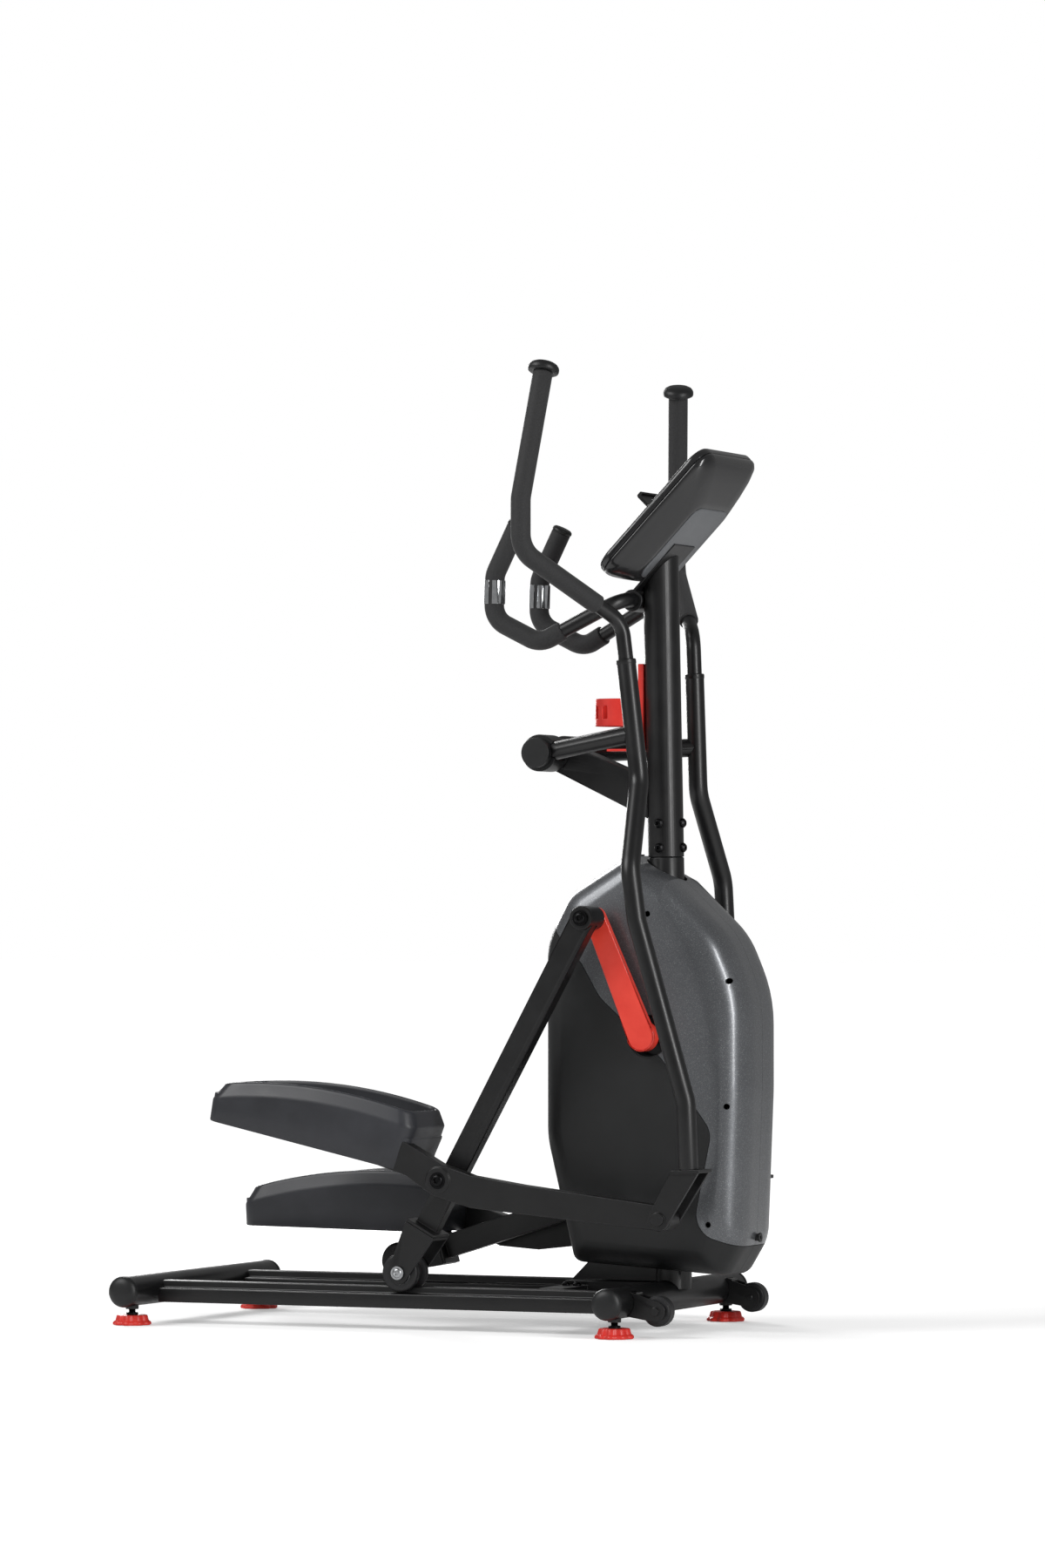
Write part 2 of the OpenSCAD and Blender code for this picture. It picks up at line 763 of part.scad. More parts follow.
module left_roller_fork() { roller_fork(1, left_a); }

// Grooved wheel that straddles the rail's ridge
module roller(side, a) {
    flange = (roller_w - ridge_w) / 2 - 1.5;
    color(charcoal) roller_frame(side, a) translate([0, rail_side, 0]) difference() {
        union() {
            for (s = [-1, 1]) on_side(s) {
                rod_y(roller_r, roller_w / 2 - flange, roller_w / 2 - 2);
                rod_y(roller_r - 3, roller_w / 2 - 3, roller_w / 2);
            }
            rod_y(groove_r, -roller_w / 2 + 3, roller_w / 2 - 3);
        }
        rod_y(roller_bolt_r + run, -50, 50);
    }
}
module right_roller() { roller(-1, right_a); }
module left_roller() { roller(1, left_a); }

// ---- Pedals --------------------------------------------------------------------------

// Frame of one pedal arm: X runs from its pivot to the clevis, Z is up
module pedal_frame(side, a) {
    on_side(side) at_side_view(pedal_c(a), slope(pedal_c(a), clevis_c(a))) children();
}

// Places along a pedal: its front end, its rear end, and the slope of its underside
pedal_front = -57;
pedal_rear = pedal_front - pedal_l;
clevis_pin_r = 6;
floor_rise = 3.5;
floor_top = 62;
floor_t = 6;
function floor_under(x) = floor_top - floor_t - x * tan(floor_rise);

// Side view of the bent tube that carries the pedal
module pedal_tube_outline(inset) {
    h = pedal_tube_h / 2 - inset;
    polygon([
        [pedal_link_l - 4, -h + 3], [150, -h - 9], [64, -h - 13], [-8, -h - 3],
        [-60, 22 - h], [-300 + inset, 62 - h], [-300 + inset, floor_under(-300) - seat - inset],
        [-88, floor_under(-88) - seat - inset], [2, h + 4], [60, h - 6], [150, h - 7],
        [pedal_link_l - 4, h - 2]
    ]);
}

// Bent rectangular tube with a sleeve at the clevis and a round boss at its pivot
module pedal_arm(side, a) {
    y0 = pedal_arm_side - pedal_tube_w / 2;
    y1 = pedal_arm_side + pedal_tube_w / 2;
    color(black) pedal_frame(side, a) difference() {
        union() {
            plate_y(y0, y1) pedal_tube_outline(0);
            translate([pedal_link_l, 0, 0])
                rod_y(20, pedal_arm_side - clevis_gap / 2 + gap, pedal_arm_side + clevis_gap / 2 - gap);
            rod_y(22, y0, y1 + 3);
        }
        difference() {
            plate_y(y0 + 2.5, y1 - 2.5) pedal_tube_outline(2.5);
            rod_y(22, y0, y1);
            translate([pedal_link_l, 0, 0]) rod_y(20, y0, y1);
        }
        translate([pedal_link_l, 0, 0]) rod_y(clevis_pin_r + run, 0, 400);
        rod_y(pedal_pin_r + run, 0, y1 + 4);
    }
}
module right_pedal_arm() { pedal_arm(-1, right_a); }
module left_pedal_arm() { pedal_arm(1, left_a); }

function pedal_low(x) = 4 + (pedal_front - x) * 0.082;

// Ring round a pedal: half width, insets of its front and rear ends, heights at front, middle, rear
function pedal_ring(half, front_in, rear_in, z) =
    let (f = pedal_front - front_in, r = pedal_rear + rear_in, m = (f + r) / 2)
    [[f, -half, z[0]], [f, half, z[0]], [m, half, z[1]], [r, half, z[2]], [r, -half, z[2]], [m, -half, z[1]]];
// Ring whose heights lie in a plane, given as [height at x = 0, rise per length backwards]
function flat_ring(half, front_in, rear_in, plane) =
    [for (p = pedal_ring(half, front_in, rear_in, [0, 0, 0])) [p[0], p[1], plane[0] - p[0] * plane[1]]];

// Deep foot tray: skirt, sloped rim and well above the floor, ribs' space below it
module pedal(side, a) {
    half = pedal_w / 2;
    inner = half - pedal_wall;
    low = [pedal_low(0), 0.082];
    under = [floor_top - floor_t, tan(floor_rise)];
    top = [floor_top, tan(floor_rise)];
    rim = [104, 119, 101];
    slot_w = pedal_tube_w + 6;
    rings = [
        flat_ring(inner, pedal_wall, pedal_wall, under),
        flat_ring(inner, 16 + pedal_wall, pedal_wall, low),
        flat_ring(half, 16, 0, low),
        pedal_ring(half, 0, 0, [84, 90, 80]),
        pedal_ring(half - 11, 13, 22, rim),
        pedal_ring(half - 11 - pedal_wall, 13 + pedal_wall, 22 + pedal_wall, rim),
        flat_ring(inner, pedal_wall, pedal_wall, top)
    ];
    n = len(rings[0]);
    last = n * (len(rings) - 1);
    color(charcoal) pedal_frame(side, a) translate([0, pedal_side, 0]) difference() {
        polyhedron(
            points = [for (ring = rings) each ring],
            faces = concat(
                [[for (k = [0 : n - 1]) k]],
                [for (i = [0 : len(rings) - 2], k = [0 : n - 1])
                    let (a = i * n + k, b = i * n + (k + 1) % n)
                    each [[a, a + n, b + n], [a, b + n, b]]],
                [[for (k = [n - 1 : -1 : 0]) last + k]]
            )
        );
        translate([pedal_front - 60, half - pedal_wall - slot_w, -40])
            cube([80, slot_w + 1, 96]);
    }
}
module right_pedal() { pedal(-1, right_a); }
module left_pedal() { pedal(1, left_a); }

// ---- Handles -------------------------------------------------------------------------

// Frame of one handle: its origin is the pivot, turned so that its clevis meets the pedal arm
module handle_frame(side, a) {
    on_side(side)
        at_side_view(handle_c, slope(handle_c, clevis_c(a)) - handle_rest_slope) children();
}

// Straight bar between two places
module bar(from, to, r) {
    d = unit(to - from);
    e = square_to(d);
    multmatrix(place(e, cross(d, e), d, from)) cylinder(r = r, h = norm(to - from));
}

// Clevis ears around the pedal arm's sleeve, and the plate under the tube
module clevis() {
    top = handle_foot[1];
    for (y = [pedal_arm_side - clevis_w / 2, pedal_arm_side + clevis_gap / 2])
        plate_y(y, y + (clevis_w - clevis_gap) / 2) {
            translate(clevis_in_handle) circle(r = 19);
            polygon([
                clevis_in_handle + [-18, 4], clevis_in_handle + [17, -8],
                [handle_foot[0] + 24, top - 1], [handle_foot[0] - 26, top - 1]
            ]);
        }
    translate([handle_foot[0] - 26, pedal_arm_side - clevis_w / 2, top - 6])
        cube([50, clevis_w + 4, 6]);
}

// Lower handle: bent tube, welded hub on the axle with its arm, and clevis with its pin
module handle_lower(side, a) {
    hub_mid = hub_side + hub_l * 0.56;
    pin_at = [clevis_in_handle[0], 0, clevis_in_handle[1]];
    color(black) handle_frame(side, a) {
        bent_tube(lower_path, handle_bend, handle_d / 2, handle_wall);
        difference() {
            union() {
                rod_y(hub_r, hub_side, hub_side + hub_l);
                bar([0, hub_mid, 0], handle_arm_end, handle_d / 2 - 0.5);
            }
            bar(lower_path[1] - (lower_path[0] - lower_path[1]) * 0.3,
                lower_path[0], handle_d / 2 + 0.05);
            rod_y(axle_r + run, 0, 120);
        }
        difference() {
            clevis();
            translate(pin_at) rod_y(clevis_pin_r + 0.02, 0, 400);
        }
    }
    color(steel) handle_frame(side, a) translate(pin_at) {
        rod_y(clevis_pin_r, pedal_arm_side - clevis_w / 2 - 5, pedal_arm_side + clevis_w / 2 + 2);
        rod_y(11, pedal_arm_side + clevis_w / 2, pedal_arm_side + clevis_w / 2 + 5);
    }
}
module right_handle_lower() { handle_lower(-1, right_a); }
module left_handle_lower() { handle_lower(1, left_a); }

// Upper handle tube, bolted inside the lower one
module handle_upper(side, a) {
    color(black) handle_frame(side, a)
        bent_tube(upper_path, grip_bend, grip_tube_d / 2, grip_wall);
}
module right_handle_upper() { handle_upper(-1, right_a); }
module left_handle_upper() { handle_upper(1, left_a); }

// Foam grip over the upper tube, with the mushroom cap at its top
module handle_grip(side, a) {
    start = upper_path[1] + (upper_path[2] - upper_path[1]) * 0.24;
    foam_path = concat([start], [for (i = [2 : 4]) upper_path[i]]);
    top_way = unit(upper_path[4] - upper_path[3]);
    e = square_to(top_way);
    color(charcoal) handle_frame(side, a) {
        bent_tube(foam_path, grip_bend, foam_d / 2, (foam_d - grip_tube_d) / 2 - seat);
    }
    color(black) handle_frame(side, a)
        multmatrix(place(e, cross(top_way, e), top_way, upper_path[4])) {
            translate([0, 0, 0.2]) rotate_extrude() polygon([
                [0, 0], [24, 0], [26, 3], [26, 8], [22, 14], [12, 17.5], [0, 18]
            ]);
            translate([0, 0, -24]) cylinder(r = grip_tube_d / 2 - grip_wall - gap, h = 24.2);
        }
}
module right_handle_grip() { handle_grip(-1, right_a); }
module left_handle_grip() { handle_grip(1, left_a); }

// Two-part round cover over the handle's hub, with its end cap
module pivot_cover(side, a) {
    end = hub_side + hub_l;
    color(charcoal) handle_frame(side, a) difference() {
        union() {
            ring_y(cover_r, hub_r + seat, hub_side + 1, end - 4);
            difference() {
                rod_y(cover_r - 6, end - 4 + seat, end + 14);
                rod_y(hub_r + seat, end - 5, end + seat);
                rod_y(axle_r + 6, end - 5, end + 12);
            }
        }
        bar([0, hub_side + hub_l * 0.56, 0], handle_arm_end, handle_d / 2);
        translate([-100, 0, -gap / 2]) cube([200, end - 4, gap]);
    }
}
module right_pivot_cover() { pivot_cover(-1, right_a); }
module left_pivot_cover() { pivot_cover(1, left_a); }

// ---- Shroud --------------------------------------------------------------------------

// One ring of the outline, drawn in towards its middle, at a distance from the centre plane
function shroud_ring(outline, inset, y) = [for (p = outline)
    let (q = [for (i = [0, 1]) p[i] - (p[i] - shroud_mid[i]) * inset / shroud_reach[i]])
    [post_x + q[0], y, q[1]]];
function shroud_skin(outline, inset) = [for (s = shroud_section)
    each shroud_ring(outline, inset + s[1], max(gap / 2, s[0] * (shroud_half - inset)))];

module shroud_outline(inset) {
    polygon([for (p = shroud_ring(rounded(shroud_corners), inset, 0)) [p[0], p[2]]]);
}

// Left half of the bulging shroud: a shell with a flat rim, or the solid form inside its skin
module shroud_form(hollow) {
    outline = rounded(shroud_corners);
    n = len(outline);
    rings = len(shroud_section);
    inner = n * rings;
    last = n * (rings - 1);
    polyhedron(
        points = concat(
            shroud_skin(outline, 0),
            hollow ? shroud_skin(outline, shroud_wall) : []
        ),
        faces = concat(
            [for (k = [0 : n - 1], i = [0 : rings - 2])
                let (j = (k + 1) % n, a = i * n + k, b = i * n + j)
                each [[a, a + n, b + n], [a, b + n, b]]],
            [[for (k = [n - 1 : -1 : 0]) last + k]],
            hollow ? concat(
                [for (k = [0 : n - 1], i = [0 : rings - 2])
                    let (j = (k + 1) % n, a = inner + i * n + k, b = inner + i * n + j)
                    each [[a, b + n, a + n], [a, b, b + n]]],
                [for (k = [0 : n - 1])
                    let (j = (k + 1) % n)
                    each [[k, j, inner + j], [k, inner + j, inner + k]]],
                [[for (k = [0 : n - 1]) inner + last + k]]
            ) : [[for (k = [0 : n - 1]) k]]
        )
    );
}

// Left half shell, with the screw bosses and the hole for the crankshaft
module shroud_half_shell() {
    difference() {
        union() {
            shroud_form(true);
            intersection() {
                shroud_form(false);
                for (p = shroud_screw_at) at_side_view([post_x + p[0], p[1]])
                    rod_y(screw_boss_r, gap / 2, shroud_half);
            }
        }
        for (p = shroud_screw_at) at_side_view([post_x + p[0], p[1]]) {
            rod_y(screw_well_r, p[2], shroud_half + 1);
            rod_y(screw_r + 0.2, -1, p[2] + 1);
        }
        at_side_view(crank_c) rod_y(crank_recess_r, 40, shroud_half + 1);
        on_post() translate([0, 0, 600]) cylinder(r = mast_r + 4, h = 300);
        inlet_place() inlet_hole(6.2);
        translate([post_x - 300, -1, 80]) cube([350, 45, 50]);
    }
}

module cover_region(grow) {
    translate([post_x, 0, 0]) plate_y(-1, shroud_half + 10)
        offset(delta = grow) polygon(rounded(cover_corners));
}

module grey_shell(side) {
    color(grey) on_side(side) difference() {
        shroud_half_shell();
        cover_region(gap);
    }
}
module shroud_right() { grey_shell(-1); }
module shroud_left() { grey_shell(1); }

// Black lower covers, one on each side
module lower_covers() {
    color(black) for (s = [-1, 1]) on_side(s) intersection() {
        shroud_half_shell();
        cover_region(0);
    }
}

// Black trim strip over the shroud's rear parting line
module rear_spine() {
    color(black) plate_y(-20, 20) difference() {
        shroud_outline(-2.5);
        shroud_outline(-gap);
        translate([post_x - 62, -10]) square([400, 1000]);
        translate([post_x - 400, -10]) square([800, 320]);
    }
}

// Self-tapping screws at the bottom of the shroud's bosses
module shroud_screws() {
    color(steel) for (p = shroud_screw_at, s = [-1, 1])
        on_side(s) at_side_view([post_x + p[0], p[1]]) {
            rod_y(screw_well_r - 0.6, p[2] + seat, p[2] + 3);
            rod_y(screw_r, p[3], p[2] + 1);
        }
}

inlet_z = 157;
inlet_out = 145;

module inlet_place() {
    translate([post_x + inlet_out, 0, inlet_z]) rotate([0, 90, 0]) children();
}

module inlet_hole(r) {
    translate([0, 0, -20]) cylinder(r = r, h = 40);
}

// Round low-voltage socket at the front
module power_inlet() {
    color(black) inlet_place() difference() {
        union() {
            translate([0, 0, -16]) cylinder(r = 6, h = 24);
            translate([0, 0, 6.2]) cylinder(r = 8, h = 3);
        }
        translate([0, 0, -2]) cylinder(r = 2.8, h = 20);
    }
}

// ---- Mast fittings -------------------------------------------------------------------

bar_clamp_w = 56;

// Bent ram-horn bar behind the mast, with its clamp
module fixed_handlebar() {
    last = len(bar_path) - 1;
    full_path = concat(
        [for (i = [last : -1 : 1]) [bar_path[i][0], -bar_path[i][1], bar_path[i][2]]],
        [for (i = [1 : last]) bar_path[i]]
    );
    color(black) {
        bent_tube(full_path, bar_bend, bar_r, 2, 16);
        difference() {
            translate([bar_x, 0, bar_z - 2]) rod_y(bar_r + 6, -bar_clamp_w / 2, bar_clamp_w / 2);
            translate([bar_x, 0, bar_z - 2]) rod_y(bar_r + seat, -100, 100);
            on_post() cylinder(r = mast_r + seat, h = 1400);
        }
    }
}

bar_foam_start = 0.72;

// Foam on both horns, with end caps
module fixed_grips() {
    start = bar_path[1] + (bar_path[2] - bar_path[1]) * bar_foam_start;
    way_out = unit(bar_path[5] - bar_path[4]);
    e = square_to(way_out);
    color(charcoal) for (s = [-1, 1]) on_side(s) {
        bent_tube([start, bar_path[2], bar_path[3], bar_path[4], bar_path[5]], bar_bend,
            foam_d / 2, foam_d / 2 - bar_r - seat, 16);
        multmatrix(place(e, cross(way_out, e), way_out, bar_path[5] + 0.2 * way_out)) {
            cylinder(r = foam_d / 2 + 1, h = 4);
            translate([0, 0, 4]) cylinder(r1 = foam_d / 2 + 1, r2 = foam_d / 2 - 5, h = 4);
        }
    }
}

// Chrome contact plates on the outside of both fixed grips
module pulse_sensors() {
    way = unit(bar_path[4] - bar_path[3]);
    e = square_to(way);
    from = setback(bar_path, 3, bar_bend) + 1;
    length = norm(bar_path[4] - bar_path[3]) - setback(bar_path, 4, bar_bend) - 1 - from;
    color(steel) for (s = [-1, 1]) on_side(s)
        multmatrix(place(e, cross(way, e), way, bar_path[3] + from * way)) difference() {
            cylinder(r = foam_d / 2 + 1.6, h = length);
            translate([0, 0, -1]) cylinder(r = foam_d / 2 + seat, h = length + 2);
            for (t = [0, 90]) rotate([0, 0, t]) translate([-40, -3, -1]) cube([80, 6, length + 2]);
        }
}

// Console: sloped front shell with window, key holes and a media ledge
module console_front() {
    color(black) console_frame() difference() {
        union() {
            translate([0, -console_w / 2, -front_t]) linear_extrude(front_t)
                round_rect(console_l, console_w, console_r);
            translate([130, -92, -2]) cube([5, 184, 36]);
            translate([130, -92, 29]) cube([11, 184, 5]);
        }
        translate([8, 8 - console_w / 2, -front_t - 1]) linear_extrude(front_t - 3)
            round_rect(console_l - 16, console_w - 16, console_r - 8);
        translate([window[0][0], window[1][0], -5])
            cube([window[0][1] - window[0][0], window[1][1] - window[1][0], 10]);
        for (k = keys) translate([k[0], k[1], -20]) cylinder(r = key_r + gap + 0.1, h = 40);
    }
}

// Bulged rear shell of the console
module console_back() {
    color(charcoal) console_frame() difference() {
        console_bulge(0);
        console_bulge(3);
    }
}

module console_bulge(inset) {
    hull() {
        translate([inset, inset - console_w / 2, -front_t - back_t]) linear_extrude(back_t - seat + inset)
            round_rect(console_l - 2 * inset, console_w - 2 * inset, console_r - inset);
        translate([pad_u[0] + inset, inset - pad_half, -front_t - pad_depth + inset])
            cube([pad_u[1] - pad_u[0] - 2 * inset, 2 * (pad_half - inset), 1]);
    }
}

// Clear window over the display
module console_lens() {
    color([0.2, 0.24, 0.26]) console_frame()
        translate([window[0][0] + seat, window[1][0] + seat, -3 + seat])
            cube([window[0][1] - window[0][0] - 2 * seat, window[1][1] - window[1][0] - 2 * seat, 2.4]);
}

module key(k) {
    color(grey) console_frame() translate([k[0], k[1], 0]) {
        translate([0, 0, -10]) cylinder(r = key_r, h = 12);
    }
}
module start_key() { key(keys[0]); }
module up_key() { key(keys[1]); }
module down_key() { key(keys[2]); }

// Plate that joins the console's back to the top of the mast
module console_bracket() {
    color(black) console_frame()
        translate([bracket_u[0], -45, -front_t - pad_depth - bracket_t])
            cube([bracket_u[1] - bracket_u[0], 90, bracket_t - seat]);
}

cage_r = 41;
cage_h = 46;
cage_z = 1008;

// Bottle holder on the user's side of the mast: ring, back plate and floor hook
module bottle_holder() {
    back_x = post_axis(cage_z)[0] - mast_r - seat;
    ring_x = back_x - 9 - cage_r;
    color(red) difference() {
        union() {
            translate([ring_x, 0, cage_z]) cylinder(r = cage_r, h = cage_h);
            translate([back_x - 10, -16, cage_z - 42]) cube([10, 32, 146]);
            translate([ring_x - 18, -14, cage_z - 42]) cube([cage_r + 24, 28, 4]);
        }
        translate([ring_x, 0, cage_z - 38]) cylinder(r = cage_r - 4, h = 400);
        for (k = [0 : 5]) translate([ring_x, 0, cage_z + 12]) rotate([0, 0, 90 + 30 * k + 15])
            translate([0, -5, 0]) cube([80, 10, cage_h - 24]);
        on_post() cylinder(r = mast_r + seat, h = 1400);
    }
}

// ---- Wheels and feet -----------------------------------------------------------------

// Brackets on the front tube with the transport wheels' bolts
module wheel_brackets() {
    arm = wheel_c - [front_x, stabilizer_z];
    color(black) for (s = [-1, 1]) on_side(s) {
        difference() {
            union() {
                for (m = [-1, 1]) {
                    y = wheel_side + m * (wheel_w / 2 + 3);
                    translate([front_x, 0, stabilizer_z]) plate_y(y - 1.5, y + 1.5) {
                        translate(arm) circle(r = 17);
                        polygon([[0, 24], [0, -20], arm + [-4, -16.5], arm + [5, 16]]);
                    }
                }
                translate([front_x + 20, wheel_side - wheel_w / 2 - 3, stabilizer_z - 16])
                    cube([10, wheel_w + 6, 34]);
            }
            translate([front_x, 0, stabilizer_z]) rod_y(tube_r + seat, 0, 400);
        }
        at_side_view(wheel_c) {
            rod_y(4, wheel_side - wheel_w / 2 - 6, wheel_side + wheel_w / 2 + 6);
            rod_y(7, wheel_side + wheel_w / 2 + 4.5, wheel_side + wheel_w / 2 + 9);
        }
    }
}

module transport_wheel(side) {
    color(charcoal) on_side(side) at_side_view(wheel_c) difference() {
        union() {
            rod_y(wheel_r, wheel_side - wheel_w / 2 + 2, wheel_side + wheel_w / 2 - 2);
            rod_y(wheel_r - 3, wheel_side - wheel_w / 2 + 0.5, wheel_side + wheel_w / 2 - 0.5);
        }
        rod_y(4 + run, 0, 400);
    }
}
module right_transport_wheel() { transport_wheel(-1); }
module left_transport_wheel() { transport_wheel(1); }

// Levelling foot: scalloped knob on a threaded stem
module foot(x, side) {
    lobes = 9;
    color(red) translate([x, side * foot_side, 0]) difference() {
        cylinder(r1 = foot_d / 2, r2 = foot_d / 2 - 6, h = foot_h);
        for (k = [0 : lobes - 1]) rotate([0, 0, 360 / lobes * k])
            translate([foot_d / 2 + 7, 0, -1]) cylinder(r = 10, h = foot_h + 2);
    }
    color(black) translate([x, side * foot_side, foot_h]) {
        cylinder(r = foot_stem_r, h = stabilizer_z - tube_r - foot_h + 10);
        cylinder(r = 9, h = 4, $fn = 6);
    }
}
module rear_right_foot() { foot(rear_x, -1); }
module rear_left_foot() { foot(rear_x, 1); }
module front_right_foot() { foot(front_x, -1); }
module front_left_foot() { foot(front_x, 1); }

// ---- Output --------------------------------------------------------------------------

rear_stabilizer();
front_stabilizer();
stabilizer_caps();
rails();
main_frame();
mast();
frame_bolts();
pivot_strut();
pivot_axle();
shroud_right();
shroud_left();
lower_covers();
rear_spine();
shroud_screws();
bearings();
brake_unit();
fixed_handlebar();
fixed_grips();
pulse_sensors();
console_back();
console_front();
console_lens();
console_bracket();
bottle_holder();
wheel_brackets();
power_inlet();
crankshaft();
drive_pulley();
flywheel();
flywheel_axle();
drive_belt();
right_crank_arm();
left_crank_arm();
right_roller_arm();
left_roller_arm();
right_roller_fork();
left_roller_fork();
right_roller();
left_roller();
right_pedal_arm();
left_pedal_arm();
right_pedal();
left_pedal();
right_handle_lower();
left_handle_lower();
right_handle_upper();
left_handle_upper();
right_handle_grip();
left_handle_grip();
right_pivot_cover();
left_pivot_cover();
right_transport_wheel();
left_transport_wheel();
rear_right_foot();
rear_left_foot();
front_right_foot();
front_left_foot();
start_key();
up_key();
down_key();
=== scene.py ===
# %% [markdown]
# # An elliptical trainer, surface by surface
# The machine is a steel frame with a sculpted two-part drive shroud, two foot trays that
# ride on roller arms, two swinging handles and a sloped console. Its measured model is
# loaded first, and every surface made here sits in that model's own frame, in metres.

# %% Load the frame
import json
import math
import bpy
import bmesh
import numpy as np
from mathutils import Matrix, Vector

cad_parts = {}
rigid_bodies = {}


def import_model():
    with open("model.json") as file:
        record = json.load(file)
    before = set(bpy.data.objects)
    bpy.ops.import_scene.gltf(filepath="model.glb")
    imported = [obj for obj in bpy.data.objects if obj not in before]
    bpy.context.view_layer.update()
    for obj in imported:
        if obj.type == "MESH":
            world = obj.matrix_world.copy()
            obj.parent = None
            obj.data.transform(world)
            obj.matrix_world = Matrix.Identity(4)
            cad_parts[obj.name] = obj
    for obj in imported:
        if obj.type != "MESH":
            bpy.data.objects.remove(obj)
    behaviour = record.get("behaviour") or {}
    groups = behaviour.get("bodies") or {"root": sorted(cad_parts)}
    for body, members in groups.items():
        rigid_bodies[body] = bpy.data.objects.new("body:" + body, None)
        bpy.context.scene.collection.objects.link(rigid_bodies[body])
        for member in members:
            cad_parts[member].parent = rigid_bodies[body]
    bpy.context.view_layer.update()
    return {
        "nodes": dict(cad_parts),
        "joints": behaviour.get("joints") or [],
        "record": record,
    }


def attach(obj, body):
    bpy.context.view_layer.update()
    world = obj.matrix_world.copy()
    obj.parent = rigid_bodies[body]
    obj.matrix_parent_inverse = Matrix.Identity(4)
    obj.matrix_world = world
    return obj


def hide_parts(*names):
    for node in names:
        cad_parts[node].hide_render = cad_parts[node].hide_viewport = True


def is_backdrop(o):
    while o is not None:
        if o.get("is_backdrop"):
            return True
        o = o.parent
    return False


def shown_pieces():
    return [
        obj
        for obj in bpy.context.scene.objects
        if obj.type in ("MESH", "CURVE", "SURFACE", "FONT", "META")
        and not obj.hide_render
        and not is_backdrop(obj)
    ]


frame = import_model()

MM = 0.001
ACROSS, UP = [0, 1, 0], [0, 0, 1]
scene = bpy.context.scene
NODES = frame["nodes"]
JOINTS = {j["name"]: j for j in frame["joints"]}

# %% [markdown]
# ## Camera, floor and light
# A long lens 11 m away, 0.7 m above the floor, keeps the uprights nearly parallel. The
# floor and the room are close to white. A broad lamp high on the left models the black
# tubes, a tall narrow one on the right draws the long highlights on the shroud and posts,
# and a third at the back picks out the far edges.


# %% Camera
def placed(name, data):
    """A new object with that data, linked to the scene."""
    made = bpy.data.objects.new(name, data)
    scene.collection.objects.link(made)
    return made


AZIMUTH, DISTANCE, EYE, PITCH = math.radians(23.5), 11.0, 0.715, math.radians(1.03)
AIM_X = 0.09825
camera_data = bpy.data.cameras.new("view_camera")
camera_data.sensor_fit = "VERTICAL"
camera_data.sensor_height = 36.0
camera_data.lens = 149.6
camera_data.clip_end = 100.0
camera = placed("view_camera", camera_data)
camera.location = (AIM_X + DISTANCE * math.sin(AZIMUTH), -DISTANCE * math.cos(AZIMUTH), EYE)
camera.rotation_euler = (math.pi / 2 + PITCH, 0.0, AZIMUTH)
scene.camera = camera
print("camera at", [round(c, 3) for c in camera.location])


# %% A node-adding helper and sRGB colours
def linear(code):
    """Linear RGBA of an sRGB hex code: each channel is undone from the display curve."""
    c = np.array([int(code[i:i + 2], 16) for i in (1, 3, 5)]) / 255.0
    return (*np.where(c <= 0.04045, c / 12.92, ((c + 0.055) / 1.055) ** 2.4), 1.0)


def add(tree, kind, values=None, links=None, **settings):
    """Adds one shader node, sets its properties and socket values, and links its inputs."""
    made = tree.nodes.new("ShaderNode" + kind)
    for key, value in settings.items():
        setattr(made, key, value)
    for key, value in (values or {}).items():
        made.inputs[key].default_value = value
    for key, socket in (links or {}).items():
        tree.links.new(socket, made.inputs[key])
    return made


def new_material(name):
    """An empty node material: its tree, its surface shader and its Object coordinates."""
    material = bpy.data.materials.new(name)
    material.use_nodes = True
    tree = material.node_tree
    tree.nodes.clear()
    shader = add(tree, "BsdfPrincipled")
    out = add(tree, "OutputMaterial", links={"Surface": shader.outputs[0]})
    out.location = (400, 0)
    place = add(tree, "TexCoord").outputs["Object"]
    return material, tree, shader, place


def ramp(tree, source, stops):
    """Colour ramp over a 0 to 1 socket, with stops as [position, hex code or grey level]."""
    made = add(tree, "ValToRGB", links={"Fac": source})
    band = made.color_ramp
    while len(band.elements) < len(stops):
        band.elements.new(0.5)
    for element, (at, tone) in zip(band.elements, stops):
        element.position = at
        element.color = linear(tone) if isinstance(tone, str) else (tone, tone, tone, 1.0)
    return made.outputs["Color"]


def per_mm(size):
    """Texture scale for a feature of that many millimetres, in metre coordinates."""
    return 1.0 / (size * MM)


def noise(tree, place, size, detail, rough=0.5):
    """Noise socket with features that many millimetres across."""
    made = add(tree, "TexNoise", {"Scale": per_mm(size), "Detail": detail, "Roughness": rough},
               {"Vector": place})
    return made.outputs["Fac"]


def put(shader, **values):
    """Sets shader inputs by name, with an underscore for each space."""
    for key, value in values.items():
        shader.inputs[key.replace("_", " ")].default_value = value


def relief(tree, shader, height, strength, lift_mm):
    """Surface relief lift_mm high from a height socket."""
    bump = add(tree, "Bump", {"Strength": strength, "Distance": lift_mm * MM}, {"Height": height})
    tree.links.new(bump.outputs["Normal"], shader.inputs["Normal"])


def gloss(tree, shader, source, rough, start=0.0, end=1.0):
    """Roughness that runs between two values while a socket runs from start to end."""
    run = add(tree, "MapRange", {"From Min": start, "From Max": end, "To Min": rough[0],
                                 "To Max": rough[1]}, {"Value": source})
    tree.links.new(run.outputs["Result"], shader.inputs["Roughness"])


